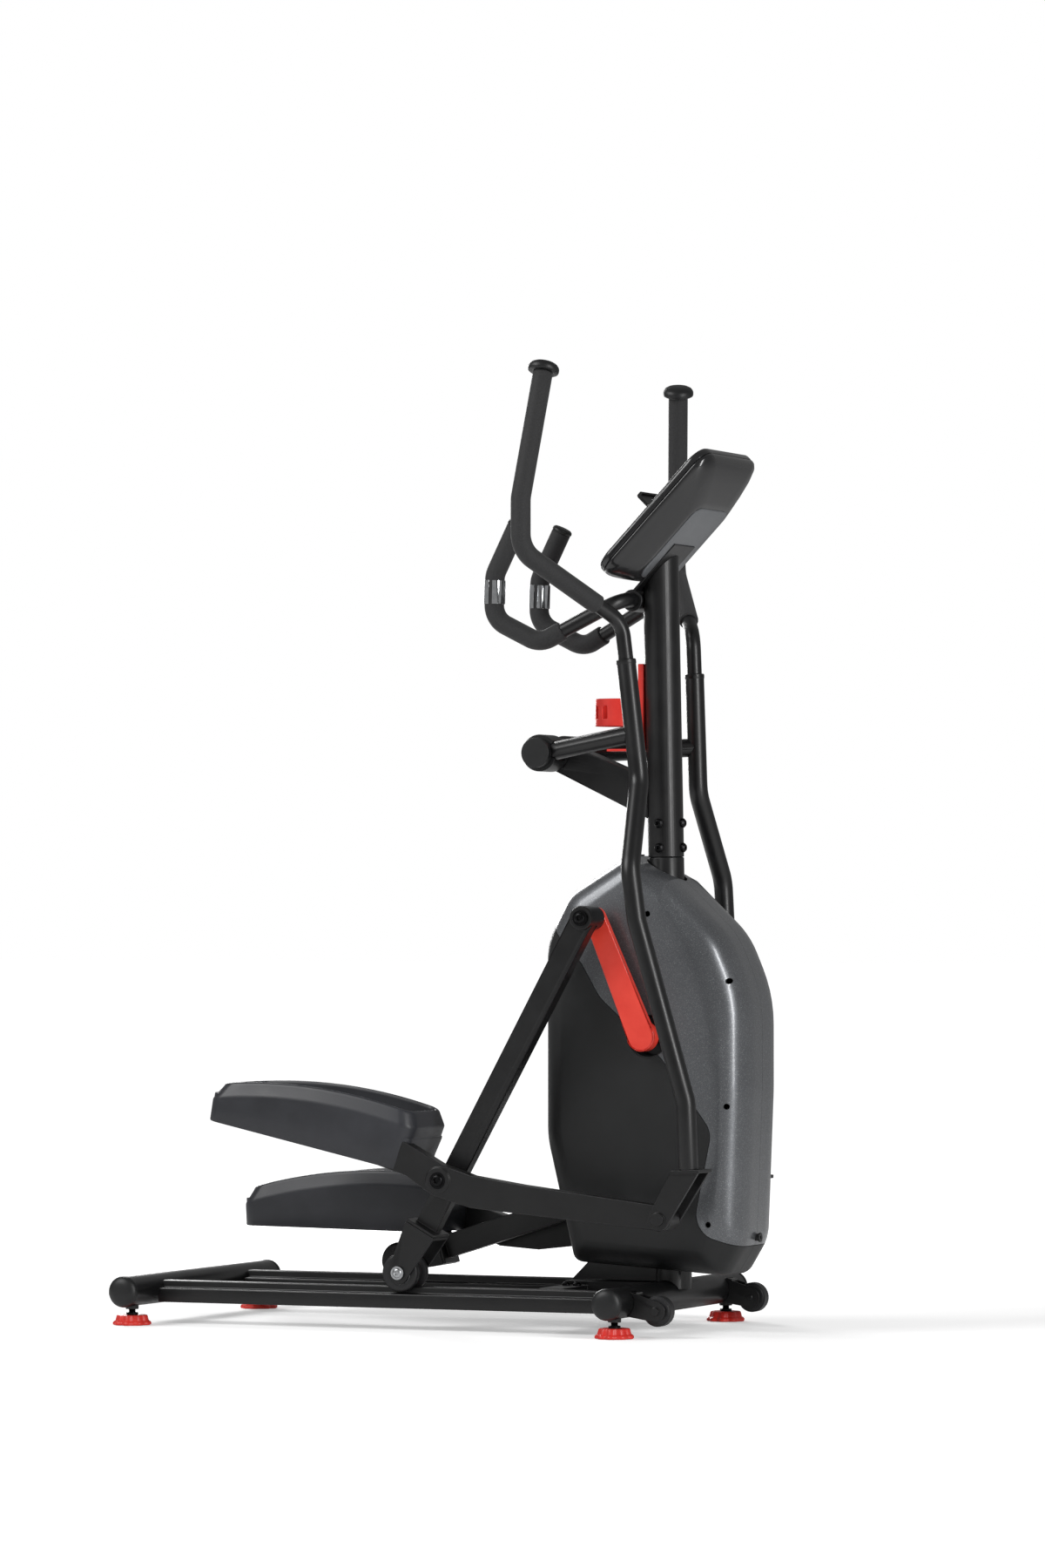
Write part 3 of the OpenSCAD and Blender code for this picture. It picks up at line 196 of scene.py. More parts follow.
# %% Floor and room
stage_material, tree, shader, place = new_material("studio_paper_sweep")
grain = add(tree, "TexNoise", {"Scale": 3.0, "Detail": 2.0}, {"Vector": place})
paper = ramp(tree, grain.outputs["Fac"], [(0.3, "#F6F6F6"), (0.7, "#FAFAFA")])
tree.links.new(paper, shader.inputs["Base Color"])
put(shader, Roughness=1.0, Specular_IOR_Level=0.0, Emission_Color=linear("#FFFFFF"))
# The sweep is lit evenly far off and left to the lamps within a metre of the machine, so
# that its shadow reads: strength eases up with the distance from the middle.
spread = add(tree, "VectorMath", links={0: place}, operation="LENGTH").outputs["Value"]
ease = add(tree, "MapRange", {"From Min": 0.9, "From Max": 4.5, "To Min": 0.34, "To Max": 0.84},
           {"Value": spread}, interpolation_type="SMOOTHSTEP")
# The sweep glows to the eye only, so that it doesn't light the black parts from below.
to_eye = add(tree, "LightPath").outputs["Is Camera Ray"]
shown = add(tree, "Math", links={0: ease.outputs["Result"], 1: to_eye}, operation="MULTIPLY")
tree.links.new(shown.outputs[0], shader.inputs["Emission Strength"])
floor_mesh = bpy.data.meshes.new("studio_floor")
FLOOR = 60.0
corners = [(-FLOOR, -FLOOR, 0), (FLOOR, -FLOOR, 0), (FLOOR, FLOOR, 0), (-FLOOR, FLOOR, 0)]
floor_mesh.from_pydata(corners, [], [(0, 1, 2, 3)])
floor = placed("studio_floor", floor_mesh)
floor.data.materials.append(stage_material)
floor.location.z = -0.0005
floor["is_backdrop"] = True

world = bpy.data.worlds.new("studio_room")
world.use_nodes = True
backdrop = world.node_tree.nodes["Background"]
backdrop.inputs["Color"].default_value = linear("#FFFFFF")
seen = add(world.node_tree, "LightPath").outputs["Is Camera Ray"]
glow = add(world.node_tree, "MapRange", {"To Min": 0.25, "To Max": 1.0}, {"Value": seen})
world.node_tree.links.new(glow.outputs["Result"], backdrop.inputs["Strength"])
scene.world = world
scene.view_settings.view_transform = "Standard"


def lamp(name, place, aim, size, power):
    """Rectangular area lamp at a place, facing a point."""
    data = bpy.data.lights.new(name, "AREA")
    data.shape = "RECTANGLE"
    data.size, data.size_y = size
    data.energy = power
    made = placed(name, data)
    made.location = place
    made.rotation_euler = (Vector(aim) - Vector(place)).to_track_quat("-Z", "Y").to_euler()


lamp("key_soft", (-2.6, -3.0, 3.6), (0.1, 0, 0.7), (2.4, 2.4), 125)
lamp("strip_right", (3.4, -1.7, 1.6), (0.3, 0, 0.7), (0.5, 2.6), 75)
lamp("strip_back_left", (-2.2, 2.6, 2.0), (0.1, 0, 0.8), (0.8, 2.4), 60)

# %% [markdown]
# ## Finishes
# Nearly the whole machine is black, so what tells its parts apart is how each surface
# takes light: powder coat has a soft orange-peel sheen, moulded covers a fine spark
# texture, foam is nearly matt with open cells, and the shroud has metal flakes under a
# clear skin. Each finish is built from noise at the real size of its texture.


# %% Black powder coat
def speckled(name, tones, patch_mm, rough, grain_mm, lift_mm, strength=1.0, **sockets):
    """Finish with drifting tone and gloss and a fine relief.

    Tone is a ramp over soft noise patch_mm across; roughness drifts between two values
    over the same patches; the relief is noise grain_mm across and lift_mm high.
    """
    material, tree, shader, place = new_material(name)
    patch = noise(tree, place, patch_mm, 4.0, 0.6)
    tone = ramp(tree, patch, [(0.3, tones[0]), (0.7, tones[1])])
    tree.links.new(tone, shader.inputs["Base Color"])
    gloss(tree, shader, patch, rough, 0.3, 0.7)
    relief(tree, shader, noise(tree, place, grain_mm, 2.0), strength, lift_mm)
    put(shader, **sockets)
    return material


# Polyester powder, baked: a smooth satin film whose orange peel is about 1.5 mm across,
# drawn 2.2 mm across so that it shows.
powder_black = speckled("black_polyester_powder_coat", ("#0A0A0B", "#101011"), 55,
                        (0.32, 0.4), 2.2, 0.05, strength=0.55)
# Spark-eroded mould texture on ABS: even and low in gloss, its grain drawn 1.6 mm across.
moulded_black = speckled("black_spark_textured_abs", ("#0C0D0E", "#131415"), 70,
                         (0.4, 0.5), 1.6, 0.08, strength=0.5)
# Glass-filled nylon: the trays' semi-gloss slate skin with faint flow marks.
slate_tray = speckled("slate_glass_filled_nylon_moulded", ("#26272B", "#303136"), 90,
                      (0.36, 0.46), 1.8, 0.06, strength=0.5)
# Polished-mould ABS, nearly a mirror in places.
gloss_charcoal = speckled("charcoal_gloss_abs_polished_mould", ("#19191A", "#202021"), 80,
                          (0.2, 0.27), 3.0, 0.02, strength=0.35, Coat_Weight=0.35,
                          Coat_Roughness=0.08)
panel_grey = speckled("grey_painted_abs_panel", ("#66686B", "#6F7174"), 60, (0.34, 0.42), 1.6,
                      0.04, strength=0.4, Metallic=0.35)
# Wet paint over steel: colour deepens slightly where the film is thick.
paint_red = speckled("orange_red_gloss_enamel_sprayed", ("#E23A2C", "#EE4636"), 45, (0.3, 0.38),
                     3.0, 0.04, strength=0.4, Coat_Weight=0.4, Coat_Roughness=0.12)
moulded_red = speckled("red_polypropylene_moulded", ("#D92E27", "#E63A30"), 30, (0.34, 0.44),
                       1.4, 0.06, strength=0.5, Subsurface_Weight=0.05)
roller_black = speckled("hard_polyurethane_cast_tyre", ("#151516", "#1E1E20"), 25, (0.42, 0.56),
                        1.3, 0.07, strength=0.6)
belt_black = speckled("ribbed_neoprene_belt", ("#101011", "#181818"), 20, (0.55, 0.7), 1.2, 0.1)
key_grey = speckled("grey_silicone_key_moulded", ("#7C7F82", "#888B8E"), 8, (0.5, 0.6), 0.8, 0.03)
print("moulded and painted finishes", len(bpy.data.materials))


# %% Shroud: metal flakes under a clear skin
def flake_paint():
    """Dark grey plastic with aluminium flakes.

    Cells 0.9 mm across each take a brightness of their own, under an even clear coat;
    soft bands 150 mm long drift the tone and the gloss.
    """
    material, tree, shader, place = new_material("dark_grey_metallic_abs_clear_coated")
    cells = add(tree, "TexVoronoi", {"Scale": per_mm(0.9)}, {"Vector": place})
    flake = ramp(tree, cells.outputs["Color"],
                 [(0.0, "#5E6063"), (0.72, "#696B6E"), (1.0, "#999C9F")])
    drift = noise(tree, place, 150, 3.0)
    tone = ramp(tree, drift, [(0.3, 0.84), (0.7, 1.0)])
    # A colour mix has its factor at input 0, its two colours at 6 and 7, its result at 2
    mixed = add(tree, "Mix", {0: 1.0}, {6: flake, 7: tone}, data_type="RGBA",
                blend_type="MULTIPLY")
    tree.links.new(mixed.outputs[2], shader.inputs["Base Color"])
    gloss(tree, shader, drift, (0.3, 0.42))
    relief(tree, shader, noise(tree, place, 4.0, 1.0), 0.25, 0.03)
    put(shader, Metallic=0.62, Coat_Weight=0.5, Coat_Roughness=0.14)
    return material


shroud_grey = flake_paint()


# %% Foam, metals and the display window
def foam(name, tones, cell_mm):
    """Closed-cell foam: a dimple in every cell, with painted shade darkening the pit, and a soft
    sheen.
    """
    material, tree, shader, place = new_material(name)
    cells = add(tree, "TexVoronoi", {"Scale": per_mm(cell_mm), "Randomness": 0.9},
                {"Vector": place}, feature="SMOOTH_F1")
    # Painted shade: each cell's colour darkens towards its middle, where the dimple is deepest.
    tone = ramp(tree, cells.outputs["Distance"], [(0.1, tones[0]), (0.75, tones[1])])
    tree.links.new(tone, shader.inputs["Base Color"])
    relief(tree, shader, cells.outputs["Distance"], 0.6, 0.35)
    put(shader, Roughness=0.74, Sheen_Weight=0.12, Sheen_Roughness=0.5)
    return material


def bright(name, tones, rough, grain_mm, stretch):
    """Bare or plated metal: fine scratches, noise drawn out along one axis by stretch."""
    material, tree, shader, place = new_material(name)
    drawn = add(tree, "Mapping", {"Scale": stretch}, {"Vector": place})
    lines = noise(tree, drawn.outputs["Vector"], grain_mm, 3.0)
    tone = ramp(tree, lines, [(0.3, tones[0]), (0.7, tones[1])])
    tree.links.new(tone, shader.inputs["Base Color"])
    gloss(tree, shader, lines, rough)
    relief(tree, shader, lines, 0.3, 0.03)
    put(shader, Metallic=1.0)
    return material


# Foam cells are about 0.7 mm; drawn 1.6 mm across so that the skin reads as foam.
grip_foam = foam("black_nitrile_foam_extruded", ("#1B1B1C", "#2B2B2C"), 1.6)
zinc = bright("zinc_plated_steel_turned", ("#A9ABAD", "#C4C6C8"), (0.22, 0.38), 0.9, (1, 6, 1))
dark_bolt = bright("black_oxide_steel_bolt", ("#1C1C1D", "#2A2A2B"), (0.28, 0.4), 0.9, (1, 1, 1))
chrome = bright("chrome_plated_steel_polished", ("#D4D6D8", "#E6E8EA"), (0.05, 0.1), 6.0, (1, 1, 1))
iron = bright("cast_iron_turned", ("#5A5B5D", "#77787A"), (0.3, 0.5), 1.0, (1, 8, 1))
window_dark = speckled("dark_acrylic_window", ("#0C1012", "#101416"), 60, (0.06, 0.1), 5.0, 0.01,
                       strength=0.2, Coat_Weight=0.6, Coat_Roughness=0.03)
print("finishes", len(bpy.data.materials))

# %% [markdown]
# ## Tools for surfaces
# Nearly every new shape is one of three things: rings carried along a bent path, rings
# stacked into a loft, or a profile turned about an axis. Each gives a grid of points worked out
# as whole arrays, and one function turns a grid into a closed piece. Measured parts whose
# shape is already right get a softened copy: the same mesh, merged, with small bevels.

# %% Grid to closed piece
BODY_OF = {n: b for b, ns in frame["record"]["behaviour"]["bodies"].items() for n in ns}


def shade(mesh, crease):
    """Smooth faces, with edges over crease degrees kept sharp."""
    mesh.polygons.foreach_set("use_smooth", np.ones(len(mesh.polygons), dtype=bool))
    mesh.set_sharp_from_angle(angle=math.radians(crease))


def finish_mesh(mesh, crease):
    """Merges doubles, turns faces outwards and keeps edges sharper than crease degrees."""
    work = bmesh.new()
    work.from_mesh(mesh)
    bmesh.ops.remove_doubles(work, verts=work.verts, dist=2e-6)
    bmesh.ops.dissolve_degenerate(work, edges=work.edges, dist=1e-7)
    bmesh.ops.recalc_face_normals(work, faces=work.faces)
    work.to_mesh(mesh)
    work.free()
    shade(mesh, crease)


def show(name, mesh, materials, body, stands_for=()):
    """Links a mesh as a piece that moves with a body and stands for CAD nodes."""
    piece = placed(name, mesh)
    for material in materials if isinstance(materials, (list, tuple)) else [materials]:
        mesh.materials.append(material)
    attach(piece, body)
    if stands_for:
        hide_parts(*stands_for)
    return piece


def loft_mesh(name, rings, crease=35, closed=False):
    """Mesh over rings of shape (rows, columns, 3): neighbours joined, both ends capped.

    Point (i, k) meets (i, k + 1), wrapping, and (i + 1, k). A closed loft joins its last
    ring back to its first and has no caps.
    """
    rows, cols = rings.shape[:2]
    k = np.arange(cols)
    i = np.arange(rows if closed else rows - 1)[:, None]
    a, b = i * cols + k, i * cols + (k + 1) % cols
    over = ((i + 1) % rows - i) * cols
    quads = np.stack([a, b, b + over, a + over], axis=-1).reshape(-1, 4).tolist()
    caps = [] if closed else [k.tolist(), ((rows - 1) * cols + k).tolist()]
    mesh = bpy.data.meshes.new(name)
    mesh.from_pydata(rings.reshape(-1, 3).tolist(), [], quads + caps)
    finish_mesh(mesh, crease)
    return mesh


def skin(name, rings, material, body, nodes=(), crease=35, closed=False):
    """Rings in metres, lofted and shown as one piece."""
    return show(name, loft_mesh(name, rings, crease, closed), material, body, nodes)


def to_side(side):
    """Scale from millimetres to metres, mirrored for the right side (-1)."""
    return np.array([1, side, 1]) * MM


# %% Bent tubes
def unit(v):
    return v / np.linalg.norm(v)


def round_path(corners, bend, step=4.0):
    """Points along straight runs with round bends.

    At a corner with turn t the runs are cut back by bend * tan(t / 2) and an arc of
    radius bend about the centre on the bisector joins them, in steps of about 4 degrees.
    """
    c = np.asarray(corners, float)
    points = [c[0]]
    for before, at, after in zip(c[:-2], c[1:-1], c[2:]):
        d, e = unit(at - before), unit(after - at)
        turn = math.acos(np.clip(d @ e, -1, 1))
        inward = unit(e - d * (d @ e))
        centre = at - d * bend * math.tan(turn / 2) + inward * bend
        t = np.linspace(0, turn, max(2, math.ceil(math.degrees(turn) / step)))[:, None]
        points.extend(centre + bend * (np.sin(t) * d - np.cos(t) * inward))
    return np.array(points + [c[-1]])


def tube_rings(path, radius, sides=40, rounding=0.0):
    """Circles of one radius square to a path, carried along with as little twist as can be.

    With rounding r the two ends close in over r along a quarter circle.
    """
    path = np.asarray(path, float)
    tangents = np.gradient(path, axis=0)
    tangents[0], tangents[-1] = path[1] - path[0], path[-1] - path[-2]
    tangents /= np.linalg.norm(tangents, axis=1)[:, None]
    radii = np.full(len(path), float(radius))
    if rounding:
        q = np.radians([0, 25, 50, 70, 90])
        head = path[0] + (rounding * (1 - np.cos(q)))[:, None] * tangents[0]
        tail = path[-1] - (rounding * (1 - np.cos(q)))[::-1][:, None] * tangents[-1]
        edge = radius - rounding + rounding * np.sin(q)
        path = np.vstack([head, path[1:-1], tail])
        radii = np.concatenate([edge, radii[1:-1], edge[::-1]])
        tangents = np.vstack([np.repeat(tangents[:1], 5, 0), tangents[1:-1],
                              np.repeat(tangents[-1:], 5, 0)])
    normal = np.cross(tangents[0], [0.3, 0.9, 0.2])
    normals = []
    for t in tangents:
        normal = unit(normal - t * (normal @ t))
        normals.append(normal)
    normals = np.array(normals)
    across = np.cross(tangents, normals)
    a = np.linspace(0, 2 * math.pi, sides, endpoint=False)[None, :, None]
    return path[:, None] + radii[:, None, None] * (np.cos(a) * normals[:, None]
                                                   + np.sin(a) * across[:, None])


def both_ways(half):
    """Profile that runs on as its own mirror image."""
    return half + [[r, -h] for r, h in reversed(half)]


def bent(corners, bend, radius, sides=40, rounding=0.0):
    """Rings of a tube along straight runs with round bends."""
    return tube_rings(round_path(corners, bend), radius, sides, rounding)


def lathe_rings(profile, at, axis, sides=56):
    """Profile of [radius, distance] pairs turned about an axis through a point."""
    profile = np.asarray(profile, float)
    axis = unit(np.asarray(axis, float))
    e = unit(np.cross(axis, [0.0, 0.0, 1.0] if abs(axis[2]) < 0.9 else [1.0, 0.0, 0.0]))
    f = np.cross(axis, e)
    a = np.linspace(0, 2 * math.pi, sides, endpoint=False)[None, :, None]
    r, h = profile[:, 0, None, None], profile[:, 1, None, None]
    return np.asarray(at, float) + h * axis + r * (np.cos(a) * e + np.sin(a) * f)


# %% Softened copies of measured parts
def islands(work):
    """The separate solids of a bmesh in turn, each as a set of joined faces."""
    todo = set(work.faces)
    while todo:
        island, edge = set(), [next(iter(todo))]
        while edge:
            face = edge.pop()
            if face not in island:
                island.add(face)
                edge.extend(g for e in face.edges for g in e.link_faces if g not in island)
        todo -= island
        yield island


def extent(island):
    """Size of a set of faces along X, Y and Z."""
    return np.ptp(np.array([v.co for face in island for v in face.verts]), axis=0)


def refined(node, materials, bevel=0.8, small=None, crease=32):
    """A CAD node's mesh, merged and bevelled by that many millimetres.

    Where small is given, separate solids under small millimetres in the side view take
    the second material, as bolts and pins do.
    """
    mesh = NODES[node].data.copy()
    mesh.materials.clear()
    work = bmesh.new()
    work.from_mesh(mesh)
    bmesh.ops.remove_doubles(work, verts=work.verts, dist=1e-6)
    bmesh.ops.dissolve_limit(work, angle_limit=math.radians(0.4), verts=work.verts,
                             edges=work.edges)
    if small is not None:
        for island in islands(work):
            if extent(island)[[0, 2]].max() < small * MM:
                for face in island:
                    face.material_index = 1
    work.to_mesh(mesh)
    work.free()
    shade(mesh, crease)
    piece = show(node + "_soft", mesh, materials, BODY_OF[node], (node,))
    if bevel:
        cut = piece.modifiers.new("edge_radius", "BEVEL")
        cut.width = bevel * MM
        cut.segments = 2
        cut.limit_method = "ANGLE"
        cut.angle_limit = math.radians(crease)
        cut.use_clamp_overlap = False
        cut.harden_normals = True
    return piece


# %% Frames of the moving parts
def pivot(joint):
    """A joint's place in the side view, as [forward, up] in millimetres."""
    x, _, z = JOINTS[joint]["pos_m"]
    return np.array([x, z]) / MM


def side_view(origin, angle, side):
    """Map from local [forward, out, up] millimetres to metres.

    The local frame is turned by angle in the side view about its origin, and the right
    side (-1) is the mirror image of the left.
    """
    c, s = math.cos(angle), math.sin(angle)
    turn = np.array([[c, 0, s], [0, side, 0], [-s, 0, c]])
    shift = np.array([origin[0], 0, origin[1]])
    return lambda points: (np.asarray(points, float) @ turn + shift) * MM


def bearing(a, b):
    return math.atan2(b[1] - a[1], b[0] - a[0])


HANDLE_AT = pivot("right_handle_swing")
HANDLE_REST = math.radians(-72.4)
HANDLE_LINK, ROLLER_ARM = 817.0, 676.0
HANDLE_BEND, GRIP_BEND, BAR_BEND = 60, 46, 38
LOWER_R, UPPER_R, FOAM_R = 16, 12.5, 16.5
CAP_GAP, SHELL_CREASE = 0.2, 34
CRANK_AT = pivot("crank_spin")
SIDES = {"right": -1, "left": 1}
FRAMES = {}
for name, side in SIDES.items():
    clevis = pivot(name + "_pedal_arm_pivot")
    hinge = pivot(name + "_roller_arm_pivot")
    wheel = pivot(name + "_roller_spin")
    FRAMES[name] = {
        "handle": side_view(HANDLE_AT, bearing(HANDLE_AT, clevis) - HANDLE_REST, side),
        "pedal": side_view(hinge, bearing(hinge, clevis), side),
        "roller": side_view(wheel, bearing(wheel, hinge), side),
    }
print("handle pivot", HANDLE_AT, "crank", CRANK_AT)

# %% [markdown]
# ## Handles and grips
# A handle is two bent steel tubes, the thin one bolted inside the thick one, with a
# foam sleeve and a mushroom cap. Each is a circle carried along a path of straight runs
# and round bends, so the bends stay truly round from any side.

# %% Swinging handles
HIGH, LOW = 136.5, 227.5
CLEVIS = HANDLE_LINK * np.array([math.cos(HANDLE_REST), math.sin(HANDLE_REST)])
FOOT = CLEVIS + [53, 79]
LOWER = [[188, HIGH, 142], [203, HIGH, -58], [218, LOW, -205], [226, LOW, -290],
         [FOOT[0], LOW, FOOT[1] + 110], [FOOT[0], LOW, FOOT[1]]]
UPPER = np.array([[190.5, HIGH, 112], [183, HIGH, 206], [78, 303, 324], [80, 299, 410],
                  [100, 232, 620]], float)
GRIP_START = UPPER[1] + (UPPER[2] - UPPER[1]) * 0.24
COLLAR = [[12.6, -2.2], [15.2, -2.0], [16.6, -0.6], [16.6, 5.0], [16.2, 6.0], [12.6, 6.0]]
MUSHROOM = [[0, 0], [23, 0], [25.2, 1.2], [26, 3.5], [26, 7.5], [25, 10.5], [22.5, 13.6],
            [18, 16], [12, 17.5], [6, 18], [0, 18.1]]


def cap_place(path):
    """Place of a cap just past the end of a path, and the direction there."""
    way = unit(path[-1] - path[-2])
    return path[-1] + way * CAP_GAP, way


for name in SIDES:
    at = FRAMES[name]["handle"]
    body = name + "_handle"
    skin(name + "_lower_tube", at(bent(LOWER, HANDLE_BEND, LOWER_R, 44, 1.0)), powder_black, body)
    skin(name + "_upper_tube", at(bent(UPPER, GRIP_BEND, UPPER_R, 40, 0.6)), powder_black, body,
         (name + "_handle_upper",))
    grip = np.vstack([GRIP_START, UPPER[2:]])
    skin(name + "_foam", at(bent(grip, GRIP_BEND, FOAM_R, 44, 2.2)), grip_foam, body,
         (name + "_handle_grip",))
    end, way = cap_place(UPPER)
    skin(name + "_mushroom_cap", at(lathe_rings(MUSHROOM, end, way)), moulded_black, body,
         crease=50)
    # Swaged collar where the thin tube enters the thick one
    top = np.array(LOWER[0], float)
    down = unit(np.array(LOWER[1], float) - top)
    skin(name + "_collar", at(lathe_rings(COLLAR, top, down)), powder_black, body, crease=30)
steps = np.diff(round_path(UPPER, GRIP_BEND), axis=0)
print("handle path length", round(float(np.linalg.norm(steps, axis=1).sum())), "mm")

# %% [markdown]
# The clevis, hub arm and pin at the handle's foot keep their measured shape. Only that
# part of the node is copied: its separate solids other than the long tube.


# %% Handle hubs, arms and clevises
LONG_TUBE = 600.0


def hub_and_clevis(name):
    """Softened copy of a handle's hub arm and clevis: of the long solid, only the faces
    below the tube's end stay, and the holes where the tube went in are filled."""
    piece = refined(name + "_handle_lower", [powder_black, dark_bolt], 0.9, 30)
    at = FRAMES[name]["handle"]
    zero = at([0.0, 0.0, 0.0])
    up = (at([0.0, 0.0, 1.0]) - zero) / MM
    work = bmesh.new()
    work.from_mesh(piece.data)
    doomed = []
    for island in islands(work):
        if extent(island).max() > LONG_TUBE * MM:
            doomed.extend(f for f in island
                          if (np.array(f.calc_center_median()) - zero) @ up / MM > FOOT[1] + 1)
    bmesh.ops.delete(work, geom=doomed, context="FACES")
    rim = [e for e in work.edges if e.is_boundary]
    bmesh.ops.holes_fill(work, edges=rim)
    work.to_mesh(piece.data)
    work.free()
    return piece


for name in SIDES:
    left = hub_and_clevis(name)
    print(name, "hub and clevis faces", len(left.data.polygons))

# %% [markdown]
# ## Drive shroud
# Two bulging shells meet on the centre plane. One half is worked out as a grid: round
# the outline in one direction, and from the flat rim over the shoulder to the flat side
# in the other. The black lower cover and the grey shell are then cut from that one skin
# along a flowing line, so that they share its curve and leave a fine shadow gap.

# %% Outline and section
POST_X = 375.75
SHROUD_CORNERS = [(-158, 112, 14), (-208, 318, 150), (-208, 650, 110), (-165, 730, 60),
                  (-62, 792, 8), (17, 752, 8), (114, 660, 150), (157, 560, 240),
                  (157, 400, 300), (147, 150, 70), (113, 94, 16)]
COVER_CORNERS = [(-260, 745, 1), (-130, 613, 40), (-96, 555, 60), (16, 454, 200), (104, 334, 40),
                 (70, 170, 44), (240, 108, 1), (240, 40, 1), (-260, 40, 1)]
SECTION = [(0, 0), (0.42, 0), (0.66, 4), (0.84, 13), (0.95, 27), (1, 44)]
SHROUD_HALF, SHROUD_WALL, RIM_GAP, SECTION_ROWS = 96.0, 3.0, 0.3, 22
MIDDLE, REACH = np.array([-18.5, 443.0]), np.array([189.5, 349.0])


def rounded(corners, step=4.0):
    """Closed outline with round corners: each [x, y, r] is cut back by r / tan(half its
    angle) and an arc of radius r bridges the cut."""
    c = np.array([k[:2] for k in corners], float)
    points = []
    radii = [k[2] for k in corners]
    for before, at, after, r in zip(np.roll(c, 1, 0), c, np.roll(c, -1, 0), radii):
        d, e = unit(before - at), unit(after - at)
        half = math.acos(np.clip(d @ e, -1, 1)) / 2
        centre = at + unit(d + e) * r / math.sin(half)
        a, b = at + d * r / math.tan(half) - centre, at + e * r / math.tan(half) - centre
        sweep = math.pi - 2 * half
        t = np.linspace(0, sweep, max(2, math.ceil(math.degrees(sweep) / step)))[:, None]
        points.extend(centre + (np.sin(sweep - t) * a + np.sin(t) * b) / math.sin(sweep))
    return np.array(points)


def even(points, spacing):
    """Closed outline with points no further apart than spacing."""
    nxt = np.roll(points, -1, 0)
    out = []
    for p, q in zip(points, nxt):
        n = max(1, math.ceil(np.linalg.norm(q - p) / spacing))
        out.extend(p + (q - p) * (np.arange(n) / n)[:, None])
    return np.array(out)


def smooth_section():
    """Section points spread evenly along a curve that eases through SECTION."""
    s = np.array(SECTION)
    step = np.hypot(np.diff(s[:, 0]) * SHROUD_HALF, np.diff(s[:, 1]))
    key = np.concatenate([[0], np.cumsum(step)])
    t = np.linspace(0, key[-1], 200)
    raw = np.stack([np.interp(t, key, s[:, 0]), np.interp(t, key, s[:, 1])], 1)
    for _ in range(160):
        raw[1:-1] = (raw[:-2] + 2 * raw[1:-1] + raw[2:]) / 4
    return raw[np.linspace(0, len(raw) - 1, SECTION_ROWS).round().astype(int)]


def shroud_skin(outline, inset):
    """Rings of the outline, each drawn in towards its middle and set out from the centre
    plane as the section says, with the rim kept RIM_GAP off that plane."""
    section = smooth_section()
    draw = (inset + section[:, 1])[:, None, None] / REACH
    flat = outline - (outline - MIDDLE) * draw
    y = np.maximum(RIM_GAP, section[:, 0] * (SHROUD_HALF - inset))
    rings = np.empty((SECTION_ROWS, len(outline), 3))
    rings[..., 0], rings[..., 2] = flat[..., 0] + POST_X, flat[..., 1]
    rings[..., 1] = y[:, None]
    return rings


outline = even(rounded(SHROUD_CORNERS), 14.0)
outer, inner = shroud_skin(outline, 0), shroud_skin(outline, SHROUD_WALL)


def capped(rings, steps=5):
    """Adds rings that shrink towards the last ring's middle, to close it with a fine grid."""
    last = rings[-1]
    middle = last.mean(axis=0)
    share = np.linspace(1, 0.02, steps + 1)[1:, None, None]
    return np.concatenate([rings, middle + (last - middle) * share])


shell_rings = np.concatenate([capped(outer)[::-1], capped(inner)])
print("shroud grid", shell_rings.shape, "reach", shell_rings.reshape(-1, 3).max(0).round(1))


# %% Cutters and the cut shells
def prism(name, outline_2d, y0, y1):
    """Outline [forward, up] in millimetres, carried along Y between two distances."""
    ring = np.stack([outline_2d[:, 0], np.zeros(len(outline_2d)), outline_2d[:, 1]], 1)
    return loft_mesh(name, np.stack([ring + [0, y, 0] for y in (y0, y1)]) * MM)


def cut(piece, cutters, how="DIFFERENCE"):
    """Boolean cuts, applied: the piece keeps its mesh name, and the cutters go."""
    for k, cutter in enumerate(cutters):
        step = piece.modifiers.new(f"cut_{k}", "BOOLEAN")
        step.object = cutter
        step.operation = how if k == 0 else "DIFFERENCE"
        step.solver = "EXACT"
    graph = bpy.context.evaluated_depsgraph_get()
    mesh = bpy.data.meshes.new_from_object(piece.evaluated_get(graph))
    piece.modifiers.clear()
    old, piece.data = piece.data, mesh
    bpy.data.meshes.remove(old)
    for cutter in cutters:
        bpy.data.objects.remove(cutter)
    return piece


def rod(name, x, z, radius, y0, y1, sides=40):
    """A helper cylinder along Y for cutting, thrown away afterwards."""
    rings = lathe_rings([[radius, y0], [radius, y1]], [x, 0, z], ACROSS, sides)
    return placed(name, loft_mesh(name, rings * MM))


SCREWS = ((-10, 694, 44), (130, 583, 24), (129, 376, 24), (98, 181, 24))
WELL_R, RECESS_R, POST_HOLE_R = 5.0, 36, 34
SLOT = np.array([(76, 80), (426, 80), (426, 130), (76, 130)])


def shell_cutters():
    """Screw wells, the crank's recess, the post's hole and the slot in the floor."""
    wells = [rod(f"well_{z}", POST_X + x, z, WELL_R, 24, 110, 28) for x, z, _ in SCREWS]
    recess = rod("recess", *CRANK_AT, RECESS_R, 40, 110, 72)
    hole = lathe_rings([[POST_HOLE_R, 0], [POST_HOLE_R, 200]], [POST_X - 14, 0, 690], UP, 64)
    post = placed("post", loft_mesh("post", hole * MM))
    return wells + [recess, post, placed("slot", prism("slot", SLOT, -1, 44))]


cover_line = even(rounded(COVER_CORNERS) + [POST_X, 0], 20.0)
GAP_LINE = 0.5


def grown(line, by):
    """Closed outline moved outwards by that much, square to its own run."""
    run = np.roll(line, -1, 0) - np.roll(line, 1, 0)
    run /= np.linalg.norm(run, axis=1)[:, None]
    return line + by * np.stack([-run[:, 1], run[:, 0]], 1)


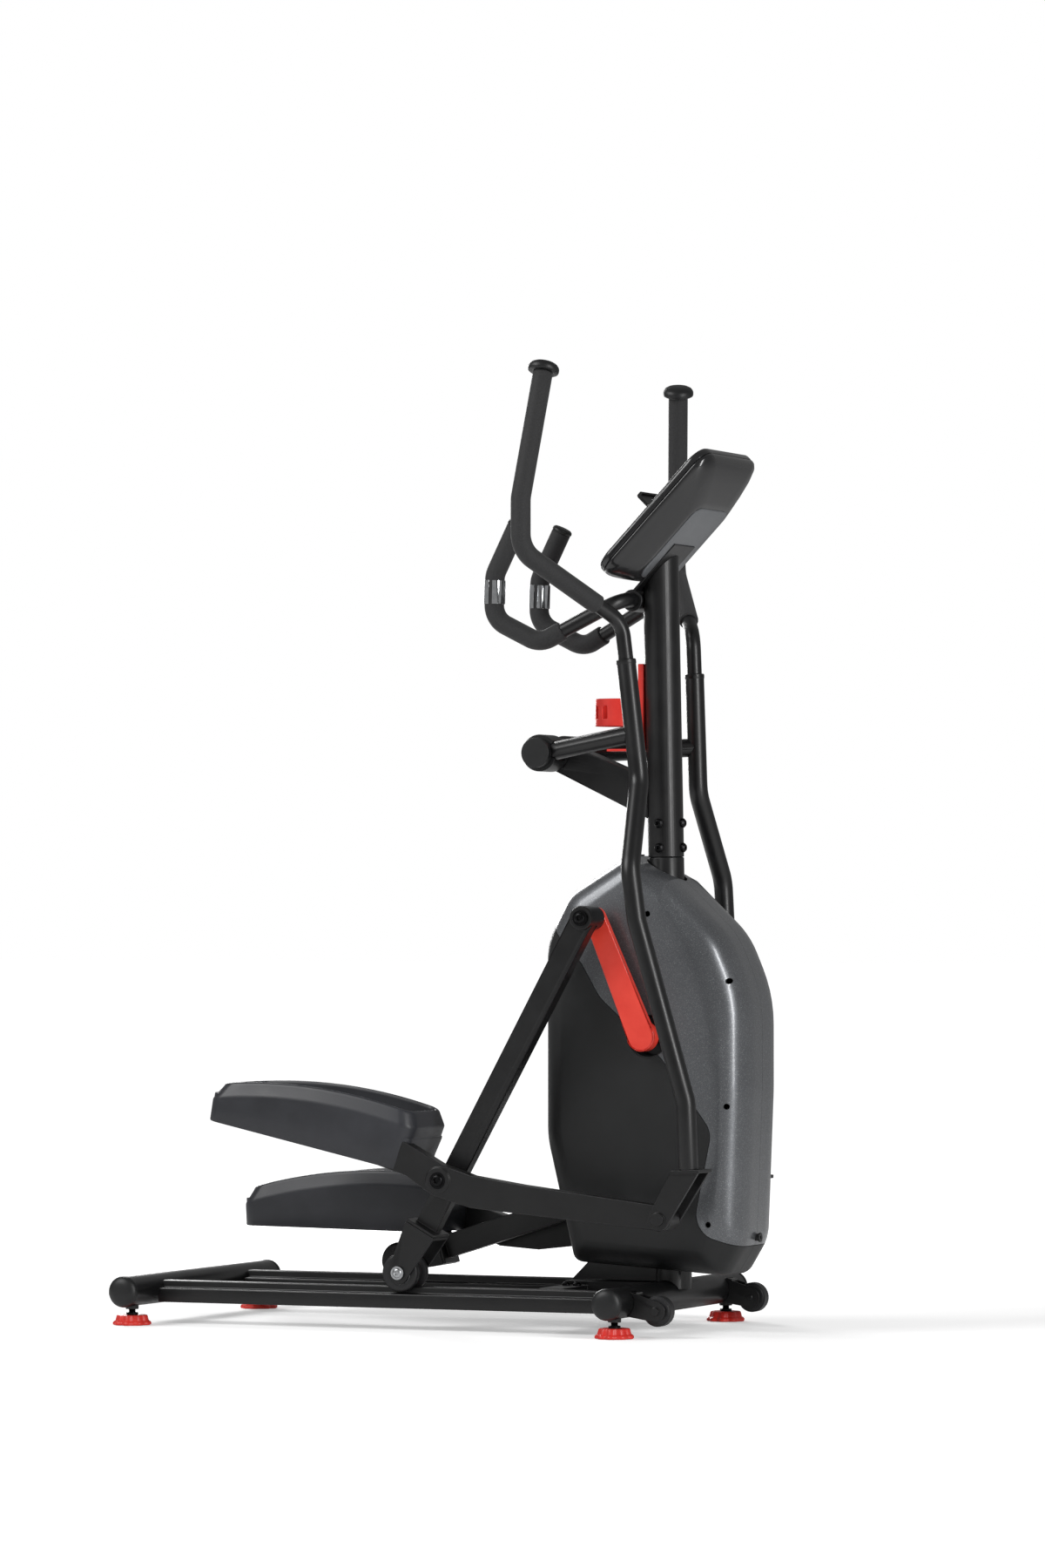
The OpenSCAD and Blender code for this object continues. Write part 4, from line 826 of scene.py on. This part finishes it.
for name, side in SIDES.items():
    for part, how, line in (("grey_shell", "DIFFERENCE", grown(cover_line, GAP_LINE)),
                            ("lower_cover", "INTERSECT", grown(cover_line, -GAP_LINE))):
        body = placed(f"{name}_{part}", loft_mesh(part, shell_rings * MM, 60))
        cut(body, [placed("region", prism("region", line, -2, 130))] + shell_cutters(), how)
        if side < 0:
            body.data.transform(Matrix.Diagonal((1, -1, 1, 1)))
            body.data.flip_normals()
        shade(body.data, SHELL_CREASE)
        body.data.materials.clear()
        body.data.materials.append(shroud_grey if part == "grey_shell" else moulded_black)
        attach(body, "frame")
        if part == "grey_shell":
            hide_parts("shroud_" + name)
        elif side > 0:
            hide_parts("lower_covers")
        print(name, part, "faces", len(body.data.polygons))

# %% [markdown]
# A dished black cup lies behind each crank arm, and each screw sits at the bottom of a
# dark well. The rear parting line is hidden by a soft-edged strip.

# %% Crank cups, wells and screws
CUP = [[14, 60], [30, 60.4], [33.5, 62], [35.2, 66], [35.6, 94.6], [34.0, 94.6], [33.4, 68],
       [30, 64], [14, 63.4]]
SCREW_HEAD = np.array([[0, 0], [2.0, 0.1], [2.2, 1.3], [3.6, 1.9], [4.3, 0.9], [4.4, -0.2]])
for name, side in SIDES.items():
    rings = lathe_rings(CUP, [CRANK_AT[0], 0, CRANK_AT[1]], ACROSS, 72) * to_side(side)
    skin(name + "_crank_cup", rings, moulded_black, "frame", crease=40, closed=True)
    for x, z, depth in SCREWS:
        rings = lathe_rings(SCREW_HEAD + [0, depth + 1.6], [POST_X + x, 0, z], ACROSS, 20)
        skin(f"{name}_shroud_screw_{z}", rings * to_side(side), dark_bolt, "frame", crease=30)
print("crank cups and screws")

# %% [markdown]
# ## Foot trays
# Each tray is one moulding: a skirt, a chamfer, a rolled rim, a deep well and a floor
# with raised pads. The rings run round the plan, and step by step they follow the section from
# under the floor, down inside the skirt, up the outside, over the rim and into the well.

# %% Tray rings
FRONT, REAR = -57.0, -437.0
ARCH = np.polyfit([-70, -254, -414], [104, 118.6, 101], 2)


def corner_arcs(ahead, behind, half, radius, count):
    """The four quarter circles of a rounded rectangle, half wide to each side."""
    arcs = []
    for k, (x, y) in enumerate(((ahead - radius, half - radius), (behind + radius, half - radius),
                                (behind + radius, radius - half), (ahead - radius, radius - half))):
        a = np.linspace(0, math.pi / 2, count) + k * math.pi / 2
        arcs.append(np.stack([x + radius * np.cos(a), y + radius * np.sin(a)], 1))
    return arcs


def plan_ring(half, front_in, rear_in, radius):
    """Rounded rectangle seen from above, the same number of points for every ring."""
    arcs = corner_arcs(FRONT - front_in, REAR + rear_in, half, max(radius, 2.0), 10)
    points = []
    for k in range(4):
        gap = np.linspace(arcs[k][-1], arcs[(k + 1) % 4][0], 18 if k % 2 == 0 else 8)
        points += [arcs[k], gap[1:-1]]
    return np.vstack(points)


def tray_ring(half, front_in, rear_in, radius, line, lift):
    """One ring, lifted above a line that runs along the tray."""
    flat = plan_ring(half, front_in, rear_in, radius)
    return np.column_stack([flat, line(flat[:, 0]) + lift])


def low(x):
    return 4 + (FRONT - x) * 0.082


def under(x):
    return 56 - x * math.tan(math.radians(3.5))


def floor_top(x):
    return under(x) + 6


def arch(x):
    return np.polyval(ARCH, x)


def flank(x):
    return low(x) * 0.5 + (arch(x) - 24) * 0.5


TRAY = [(20, 150, 150, 2, under, 0), (60, 40, 40, 10, under, 0), (73.5, 5, 5, 14, under, 0),
        (74, 4.5, 4, 16, under, -3), (74.4, 19, 4, 18, low, 1), (75.5, 18, 2, 20, low, 0),
        (77, 17, 1, 22, low, 0.2), (78, 16, 0, 24, low, 2), (78, 9, 0, 25, flank, 0),
        (78, 1.5, 0, 26, arch, -27), (77.6, 0.8, 0.6, 26, arch, -24),
        (76.6, 1.6, 2.4, 26, arch, -21), (70.5, 8.5, 14, 25, arch, -5.5),
        (69.6, 9.8, 15.4, 25, arch, -2.6), (68.2, 11.2, 17, 25, arch, -0.9),
        (66, 13, 19.2, 24, arch, 0), (63.6, 15.4, 21.8, 23, arch, -0.7),
        (62.4, 16.8, 23.2, 22, arch, -2.4), (62, 17.4, 23.8, 21, arch, -6),
        (61.4, 18.2, 24.6, 20, floor_top, 7), (60.2, 19.4, 26, 19, floor_top, 3),
        (57, 22.6, 29, 17, floor_top, 0.6), (53, 27, 33, 15, floor_top, 0),
        (20, 150, 150, 2, floor_top, 0)]
TRAY_SIDE = 152.0
PAD_R, PAD_REACH, PAD_SIDES = 2.6, 3.6, 12
PAD_STEP, PAD_GAP, PAD_LIMIT = 15.0, 14.0, 44


def tread():
    """Grid of low round-ended pads on the tray's floor: each is an oblong 12 x 5 mm and
    1.1 mm high, in staggered rows 15 mm apart."""
    n = PAD_SIDES
    a = np.linspace(0, 2 * math.pi, n, endpoint=False)
    reach = PAD_REACH * np.sign(np.sin(a)) * (np.abs(np.sin(a)) > 0.1)
    oblong = np.stack([PAD_R * np.cos(a), PAD_R * np.sin(a) + reach], 1)
    verts, faces = [], []
    for i, x in enumerate(np.arange(-398, -94, PAD_STEP)):
        for y in np.arange(-42, 43, PAD_GAP) + (PAD_GAP / 2 if i % 2 else 0.0):
            if abs(y) > PAD_LIMIT:
                continue
            base = len(verts)
            for share, lift in ((1.0, -0.3), (0.94, 0.7), (0.7, 1.1)):
                ring = oblong * share + [x, y]
                verts.extend(np.column_stack([ring, floor_top(ring[:, 0]) + lift]).tolist())
            for level in (base, base + n):
                for k in range(n):
                    b, c = level + k, level + (k + 1) % n
                    faces.append([b, c, c + n, b + n])
            faces.append([base + 2 * n + k for k in range(n)])
            faces.append([base + n - 1 - k for k in range(n)])
    return np.array(verts), faces


pad_points, pad_faces = tread()
for name in SIDES:
    at = FRAMES[name]["pedal"]
    rings = np.stack([tray_ring(*row) for row in TRAY]) + [0, TRAY_SIDE, 0]
    tray = skin(name + "_tray", at(rings), slate_tray, name + "_pedal_arm", (name + "_pedal",), 38)
    mesh = bpy.data.meshes.new("tread")
    mesh.from_pydata(at(pad_points + [0, TRAY_SIDE, 0]).tolist(), [], pad_faces)
    finish_mesh(mesh, 40)
    show(name + "_tread", mesh, roller_black, name + "_pedal_arm")
print("tray faces", len(tray.data.polygons), "tread faces", len(pad_faces))

# %% [markdown]
# ## Console
# A thin sloped slab: a rounded rectangle whose rim rolls over into the face, and a back
# that bulges to a flat pad where the bracket holds it. Both are rings of one rounded
# rectangle, worked out up the slope and across.

# %% Console shells
CONSOLE_AT = np.array([POST_X - 97.5, 1271.0])
CONSOLE_SLOPE = math.radians(46)
CONSOLE_L, CONSOLE_HALF = 272, 120
console_frame = side_view(CONSOLE_AT, CONSOLE_SLOPE, 1)


def slab_ring(u0, u1, half, radius, depth):
    """Rounded rectangle from u0 to u1 up the slope and half across, at a depth."""
    flat = np.vstack(corner_arcs(u1, u0, half, radius, 12))
    return np.column_stack([flat, np.full(len(flat), depth)])


def slab(rows):
    """Console rings in metres, one for each row of slab_ring values."""
    return console_frame(np.stack([slab_ring(*row) for row in rows]))


def drawn_in(*rows):
    """slab_ring rows of the slab's own outline, from [how far drawn in, radius, depth]."""
    return [(by, CONSOLE_L - by, CONSOLE_HALF - by, radius, depth) for by, radius, depth in rows]


face_rows = drawn_in((60, 20, -13.9), (1.5, 33, -13.9), (0.4, 34, -13.2), (0, 34, -11.6),
                     (0, 34, -6.5), (0.7, 33.4, -3.2), (2.6, 31.6, -1.0), (5.6, 29, -0.1),
                     (8, 27, -0.5), (9.4, 26, -1.0), (60, 20, -1.0))
face = skin("console_face", slab(face_rows), gloss_charcoal, "frame")
back_rows = drawn_in((60, 20, -14.4), (1.2, 33.5, -14.4), (0.3, 34, -15.4), (0, 34, -17))
back_rows += [(0.8, 271.4, 119.2, 34, -21), (3, 268, 116, 34, -26.5), (7, 255, 109, 36, -34),
              (12, 233, 99, 38, -42), (16.5, 210, 89, 38, -48.6), (20, 198, 82, 36, -52.2),
              (24, 191, 77, 33, -53.7), (30, 184, 71, 30, -54), (60, 150, 40, 20, -54)]
skin("console_rear_shell", slab(back_rows), gloss_charcoal, "frame", ("console_back",))
panel_rows = [(70, 150, 30, 10, -53.4), (31, 186, 71, 22, -53.4), (31, 186, 71, 22, -54.9),
              (31.8, 185.2, 70.2, 21.4, -55.6), (33.2, 183.8, 68.8, 20, -56.0),
              (70, 150, 30, 10, -56.0)]
skin("console_rear_panel", slab(panel_rows), panel_grey, "frame")
print("console faces", len(face.data.polygons))

# %% Display, keys and media ledge
screen_rows = [(60, 100, 30, 4, -2.4), (50, 110, 70, 6, -2.4), (50, 110, 70, 6, -0.6),
               (50.6, 109.4, 69.4, 5.4, -0.2), (60, 100, 30, 4, -0.2)]
skin("display_window", slab(screen_rows), window_dark, "frame", ("console_lens",))
bezel_rows = [(45, 115, 75, 9, -1.2), (45, 115, 75, 9, 0.2), (46, 114, 74, 8.4, 0.7),
              (49, 111, 71, 6.6, 0.7), (50, 110, 70, 6, 0.2), (50, 110, 70, 6, -1.2)]
skin("display_bezel", slab(bezel_rows), moulded_black, "frame", closed=True)
ledge = np.array([(130, -1.5), (135, -1.5), (135.6, 26), (136.5, 28.6), (140, 29.2), (141, 30.5),
                  (141, 33), (139.6, 34), (132.4, 34), (130.8, 33), (130, 31)], float)
middle = ledge.mean(axis=0)
ledge_rings = np.stack([np.insert(middle + (ledge - middle) * share, 1, v, axis=1)
                        for v, share in ((-92, 0.9), (-91, 1.0), (91, 1.0), (92, 0.9))])
skin("media_ledge", console_frame(ledge_rings), moulded_black, "frame", ("console_front",), 40)
KEY_DOME = [[0, 2.0], [5, 1.95], [7.0, 1.6], [7.7, 0.9], [8, 0], [8, -9.8], [0, -10]]
for key, v in (("start", 0), ("up", -34), ("down", 34)):
    rings = console_frame(lathe_rings(KEY_DOME, [24, v, 0], UP, 40))
    skin(key + "_key_cap", rings, key_grey, key + "_key", (key + "_key",), 40)
print("ledge rings", ledge_rings.shape)

# %% [markdown]
# ## Fixed handlebar and its grips
# A ram's-horn bar: one tube from horn to horn, with foam on both ends, pressed end caps
# and chrome pulse plates on the uprights.

# %% Fixed handlebar
BAR_Z = 1220.0
LEAN, MAST_R, SEAT = math.radians(1.12), 30, 0.1
BAR_X = POST_X - BAR_Z * math.tan(LEAN) - MAST_R - UPPER_R - SEAT
HORN = np.array([[BAR_X, 72, BAR_Z - 2], [BAR_X - 138, 95, 1146], [BAR_X - 222, 95, 1188],
                 [BAR_X - 220, 95, 1262], [BAR_X - 180, 95, 1342]])
BAR_PATH = np.vstack([HORN[::-1] * [1, -1, 1], HORN])
skin("horn_bar", bent(BAR_PATH, BAR_BEND, UPPER_R) * MM, powder_black, "frame",
     ("fixed_handlebar",))
CLAMP = both_ways([[13.0, -27], [17.2, -27], [18.3, -25.6], [18.5, -24]])
skin("bar_clamp", lathe_rings(CLAMP, [BAR_X, 0, BAR_Z - 2], ACROSS) * MM, powder_black, "frame",
     crease=30, closed=True)
GRIP_CAP = [[0, 0], [16.8, 0], [17.5, 0.9], [17.5, 3.2], [16.6, 5.4], [14, 7.2], [9, 8.0], [0, 8.2]]
foam_path = np.vstack([HORN[0] + (HORN[1] - HORN[0]) * 0.72, HORN[1:]])
end, way = cap_place(HORN)
for name, side in SIDES.items():
    rings = bent(foam_path, BAR_BEND, FOAM_R, 44, 1.8) * to_side(side)
    skin(name + "_fixed_foam", rings, grip_foam, "frame", ("fixed_grips",) if side > 0 else ())
    skin(name + "_fixed_grip_cap", lathe_rings(GRIP_CAP, end, way) * to_side(side), moulded_black,
         "frame", crease=45)
refined("pulse_sensors", [chrome], 0.3)
print("bar at", round(BAR_X, 1))

# %% [markdown]
# ## Base
# The rails are roll-formed, so their edges have a real radius. The cross tubes end in
# soft domed caps, and the feet are red scalloped discs on black threaded stems.

# %% Rails and cross tubes
POST_AHEAD, FOOT_SPAN, RAIL_SIDE, FOOT_SIDE = 6.5, 883.0, 165, 246
TUBE_HALF, TUBE_Z = 277, 57
REAR_X, FRONT_X = POST_X - POST_AHEAD - FOOT_SPAN, POST_X - POST_AHEAD
ENDS = ((REAR_X, "rear"), (FRONT_X, "front"))


def ridge_profile():
    """Rail section from its lower outer corner round the ridge: [across, up], with each
    corner taken round by four points so that it catches light as a bend of 2 mm radius."""
    r = 2.0
    half, low_z, top, ridge, peak = 31.0, 36.0, 60.0, 12.0, 72.0
    c = np.array([(half, low_z), (half, top), (ridge, top), (ridge, peak),
                  (-ridge, peak), (-ridge, top), (-half, top), (-half, low_z)])
    points = []
    for before, at, after in zip(np.roll(c, 1, 0), c, np.roll(c, -1, 0)):
        d, e = unit(before - at), unit(after - at)
        for t in np.radians([0, 30, 60, 90]):
            points.append(at + r * ((1 - math.sin(t)) * d + (1 - math.cos(t)) * e))
    return np.array(points)


section = ridge_profile() + [RAIL_SIDE, 0]
rail = np.stack([np.insert(section, 0, x, axis=1) for x in (REAR_X + 24, FRONT_X - 24)])
for name, side in SIDES.items():
    skin(name + "_rail", rail * to_side(side), powder_black, "frame",
         ("rails",) if side > 0 else (), 40)
for node in ("rear_stabilizer", "front_stabilizer"):
    refined(node, [powder_black], 0.6)
DOME = [[0, -2], [24.6, -2], [26.2, -1.6], [26.5, -0.4], [26.5, 1.6], [26.1, 4.4], [24.6, 7.6],
        [22, 10.2], [18, 12.6], [13, 14], [7, 14.8], [0, 15]]
for x, end in ENDS:
    for name, side in SIDES.items():
        rings = lathe_rings(DOME, [x, TUBE_HALF, TUBE_Z], ACROSS) * to_side(side)
        skin(f"{end}_{name}_tube_cap", rings, moulded_black, "frame",
             ("stabilizer_caps",) if (end, name) == ("rear", "left") else (), 40)


# %% Levelling feet
def scalloped(profile, at, lobes=9, depth=3.4, sides=144):
    """Turned profile whose radius dips by depth in lobes: the dip is the cosine of lobes
    turns, sharpened, and fades to nothing towards the axis."""
    rings = lathe_rings(profile, [0, 0, 0], UP, sides)
    flat = rings[..., :2]
    r = np.linalg.norm(flat, axis=-1, keepdims=True)
    a = np.arctan2(flat[..., 1], flat[..., 0])[..., None]
    dip = depth * (0.5 - 0.5 * np.cos(lobes * a)) ** 1.6
    share = np.clip((r - 18) / 12, 0, 1)
    rings[..., :2] = flat * (r - dip * share) / np.maximum(r, 1e-9)
    return rings + np.asarray(at, float)


KNOB = [[0, 0.4], [29, 0.4], [31.4, 0], [32.6, 0.6], [33, 2.2], [32.6, 4.2], [31, 6], [28.6, 7.4],
        [27.6, 10.5], [26.6, 14.5], [25.4, 16.4], [23, 17], [14, 17], [12, 16.4], [0, 16.4]]
STEM = [[0, 16], [9.2, 16], [10.2, 16.6], [10.2, 20.4], [9.2, 21], [6, 21]]
STEM += [[6.0 - 0.7 * (k % 2), 21.4 + 0.75 * k] for k in range(26)] + [[5.6, 41.4], [0, 41.4]]
for x, end in ENDS:
    for name, side in SIDES.items():
        place = [x, side * FOOT_SIDE, 0]
        body = f"{end}_{name}_foot"
        skin(f"{end}_{name}_knob", scalloped(KNOB, place) * MM, moulded_red, body, (body,), 32)
        skin(f"{end}_{name}_stem", lathe_rings(STEM, place, UP, 32) * MM, dark_bolt, body,
             crease=30)
print("stem profile points", len(STEM))

# %% [markdown]
# ## Rollers, wheels, arms and brackets
# The rollers are cast tyres with a ball bearing pressed in, shown by a steel ring with a
# sunken band where the seal sits. The remaining steelwork keeps its measured form with softened
# edges.

# %% Rollers and transport wheels
TYRE = both_ways([[11.4, -25.6], [27, -25.8], [29.6, -25.2], [31.4, -23.6], [32, -21.6],
                  [32, -14.6], [31.4, -13.4], [30.2, -12.8], [22.9, -12.6], [22.7, -12.0]])
RACE = [[5.3, 24.9], [8.6, 24.9], [8.9, 25.3], [9.0, 25.6], [15.0, 25.6], [15.4, 25.4],
        [15.6, 24.8], [17.6, 24.8], [18.2, 25.6], [19.8, 25.95], [20.2, 25.5], [20.2, 24.2],
        [5.3, 24.2]]
for name, side in SIDES.items():
    at = FRAMES[name]["roller"]
    tyre = at(lathe_rings(TYRE, [0, RAIL_SIDE, 0], ACROSS, 80))
    skin(name + "_roller_tyre", tyre, roller_black, name + "_roller", (name + "_roller",), 30, True)
    for way, face in ((-1, "in"), (1, "out")):
        race = at(lathe_rings(np.array(RACE) * [1, way], [0, RAIL_SIDE, 0], ACROSS, 64))
        skin(f"{name}_roller_race_{face}", race, zinc, name + "_roller", crease=30, closed=True)
    refined(name + "_transport_wheel", [roller_black], 1.0)
print("roller tyre rings", tyre.shape)

# %% Steel arms, forks and pins
for name in SIDES:
    refined(name + "_roller_arm", [powder_black, zinc], 1.6)
    refined(name + "_roller_fork", [powder_black, zinc], 1.0, 40)
    refined(name + "_crank_arm", [paint_red], 2.2)
    refined(name + "_pedal_arm", [powder_black], 1.8)
    refined(name + "_pivot_cover", [moulded_black], 1.2)
for node, bevel in (("main_frame", 1.2), ("mast", 0.5), ("pivot_strut", 2.0),
                    ("console_bracket", 0.8), ("wheel_brackets", 0.8)):
    refined(node, [powder_black], bevel)
refined("rear_spine", [moulded_black], 0.8)
refined("bottle_holder", [moulded_red], 1.0)
refined("frame_bolts", [dark_bolt], 0.4)
refined("pivot_axle", [zinc], 0.8)
refined("power_inlet", [moulded_black], 0.5)

# %% [markdown]
# ## Bolts and washers
# Hexagon-socket button heads close the pivots: black oxide on each pedal arm's pivot and
# crank pin, and bright zinc on each roller's axle.


# %% Socket heads
def button(radius, height):
    """Button head with a socket, as a profile from the rim, over the dome, into the recess."""
    return [[0, -0.6], [radius, -0.6], [radius, 0.3 * height], [radius * 0.93, 0.55 * height],
            [radius * 0.78, 0.82 * height], [radius * 0.6, 0.97 * height], [radius * 0.46, height],
            [radius * 0.43, 0.93 * height], [radius * 0.43, 0.35 * height], [0, 0.3 * height]]


for name in SIDES:
    for label, frame_name, body, x, z, out, radius, height in (
            ("pedal_pivot", "pedal", "_pedal_arm", 0, 0, 228.0, 10.5, 5.5),
            ("crank_pin", "roller", "_roller_arm", ROLLER_ARM, 0, 188.0, 9.5, 4.5),
            ("roller_axle", "roller", "_roller_arm", 0, 0, 199.0, 8.0, 3.5)):
        metal = zinc if label == "roller_axle" else dark_bolt
        at = FRAMES[name][frame_name]
        rings = at(lathe_rings(button(radius, height), [x, out, z], ACROSS, 36))
        skin(f"{name}_{label}_head", rings, metal, name + body, crease=30)
        washer = [[radius + 0.2, -0.4], [radius + 3.2, -0.4], [radius + 3.6, 0.3],
                  [radius + 3.2, 1.0], [radius + 0.2, 1.0]]
        rings = at(lathe_rings(washer, [x, out, z], ACROSS, 40))
        skin(f"{name}_{label}_washer", rings, metal, name + body, crease=30, closed=True)
print("pin heads and washers")

# %% Finishes for the measured parts that stay as they are
INSIDE = {"crankshaft": zinc, "drive_pulley": moulded_black, "flywheel": iron,
          "flywheel_axle": zinc, "drive_belt": belt_black, "brake_unit": moulded_black,
          "bearings": zinc, "shroud_screws": dark_bolt, "console_front": moulded_black}
for node, material in INSIDE.items():
    NODES[node].data.materials.clear()
    NODES[node].data.materials.append(material)
hidden = {o.name for o in bpy.data.objects if o.hide_render}
left_over = [n for n in NODES if n not in hidden and n not in INSIDE]
print("nodes with no new finish", left_over)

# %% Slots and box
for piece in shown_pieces():
    material = piece.data.materials[0] if piece.data.materials else None
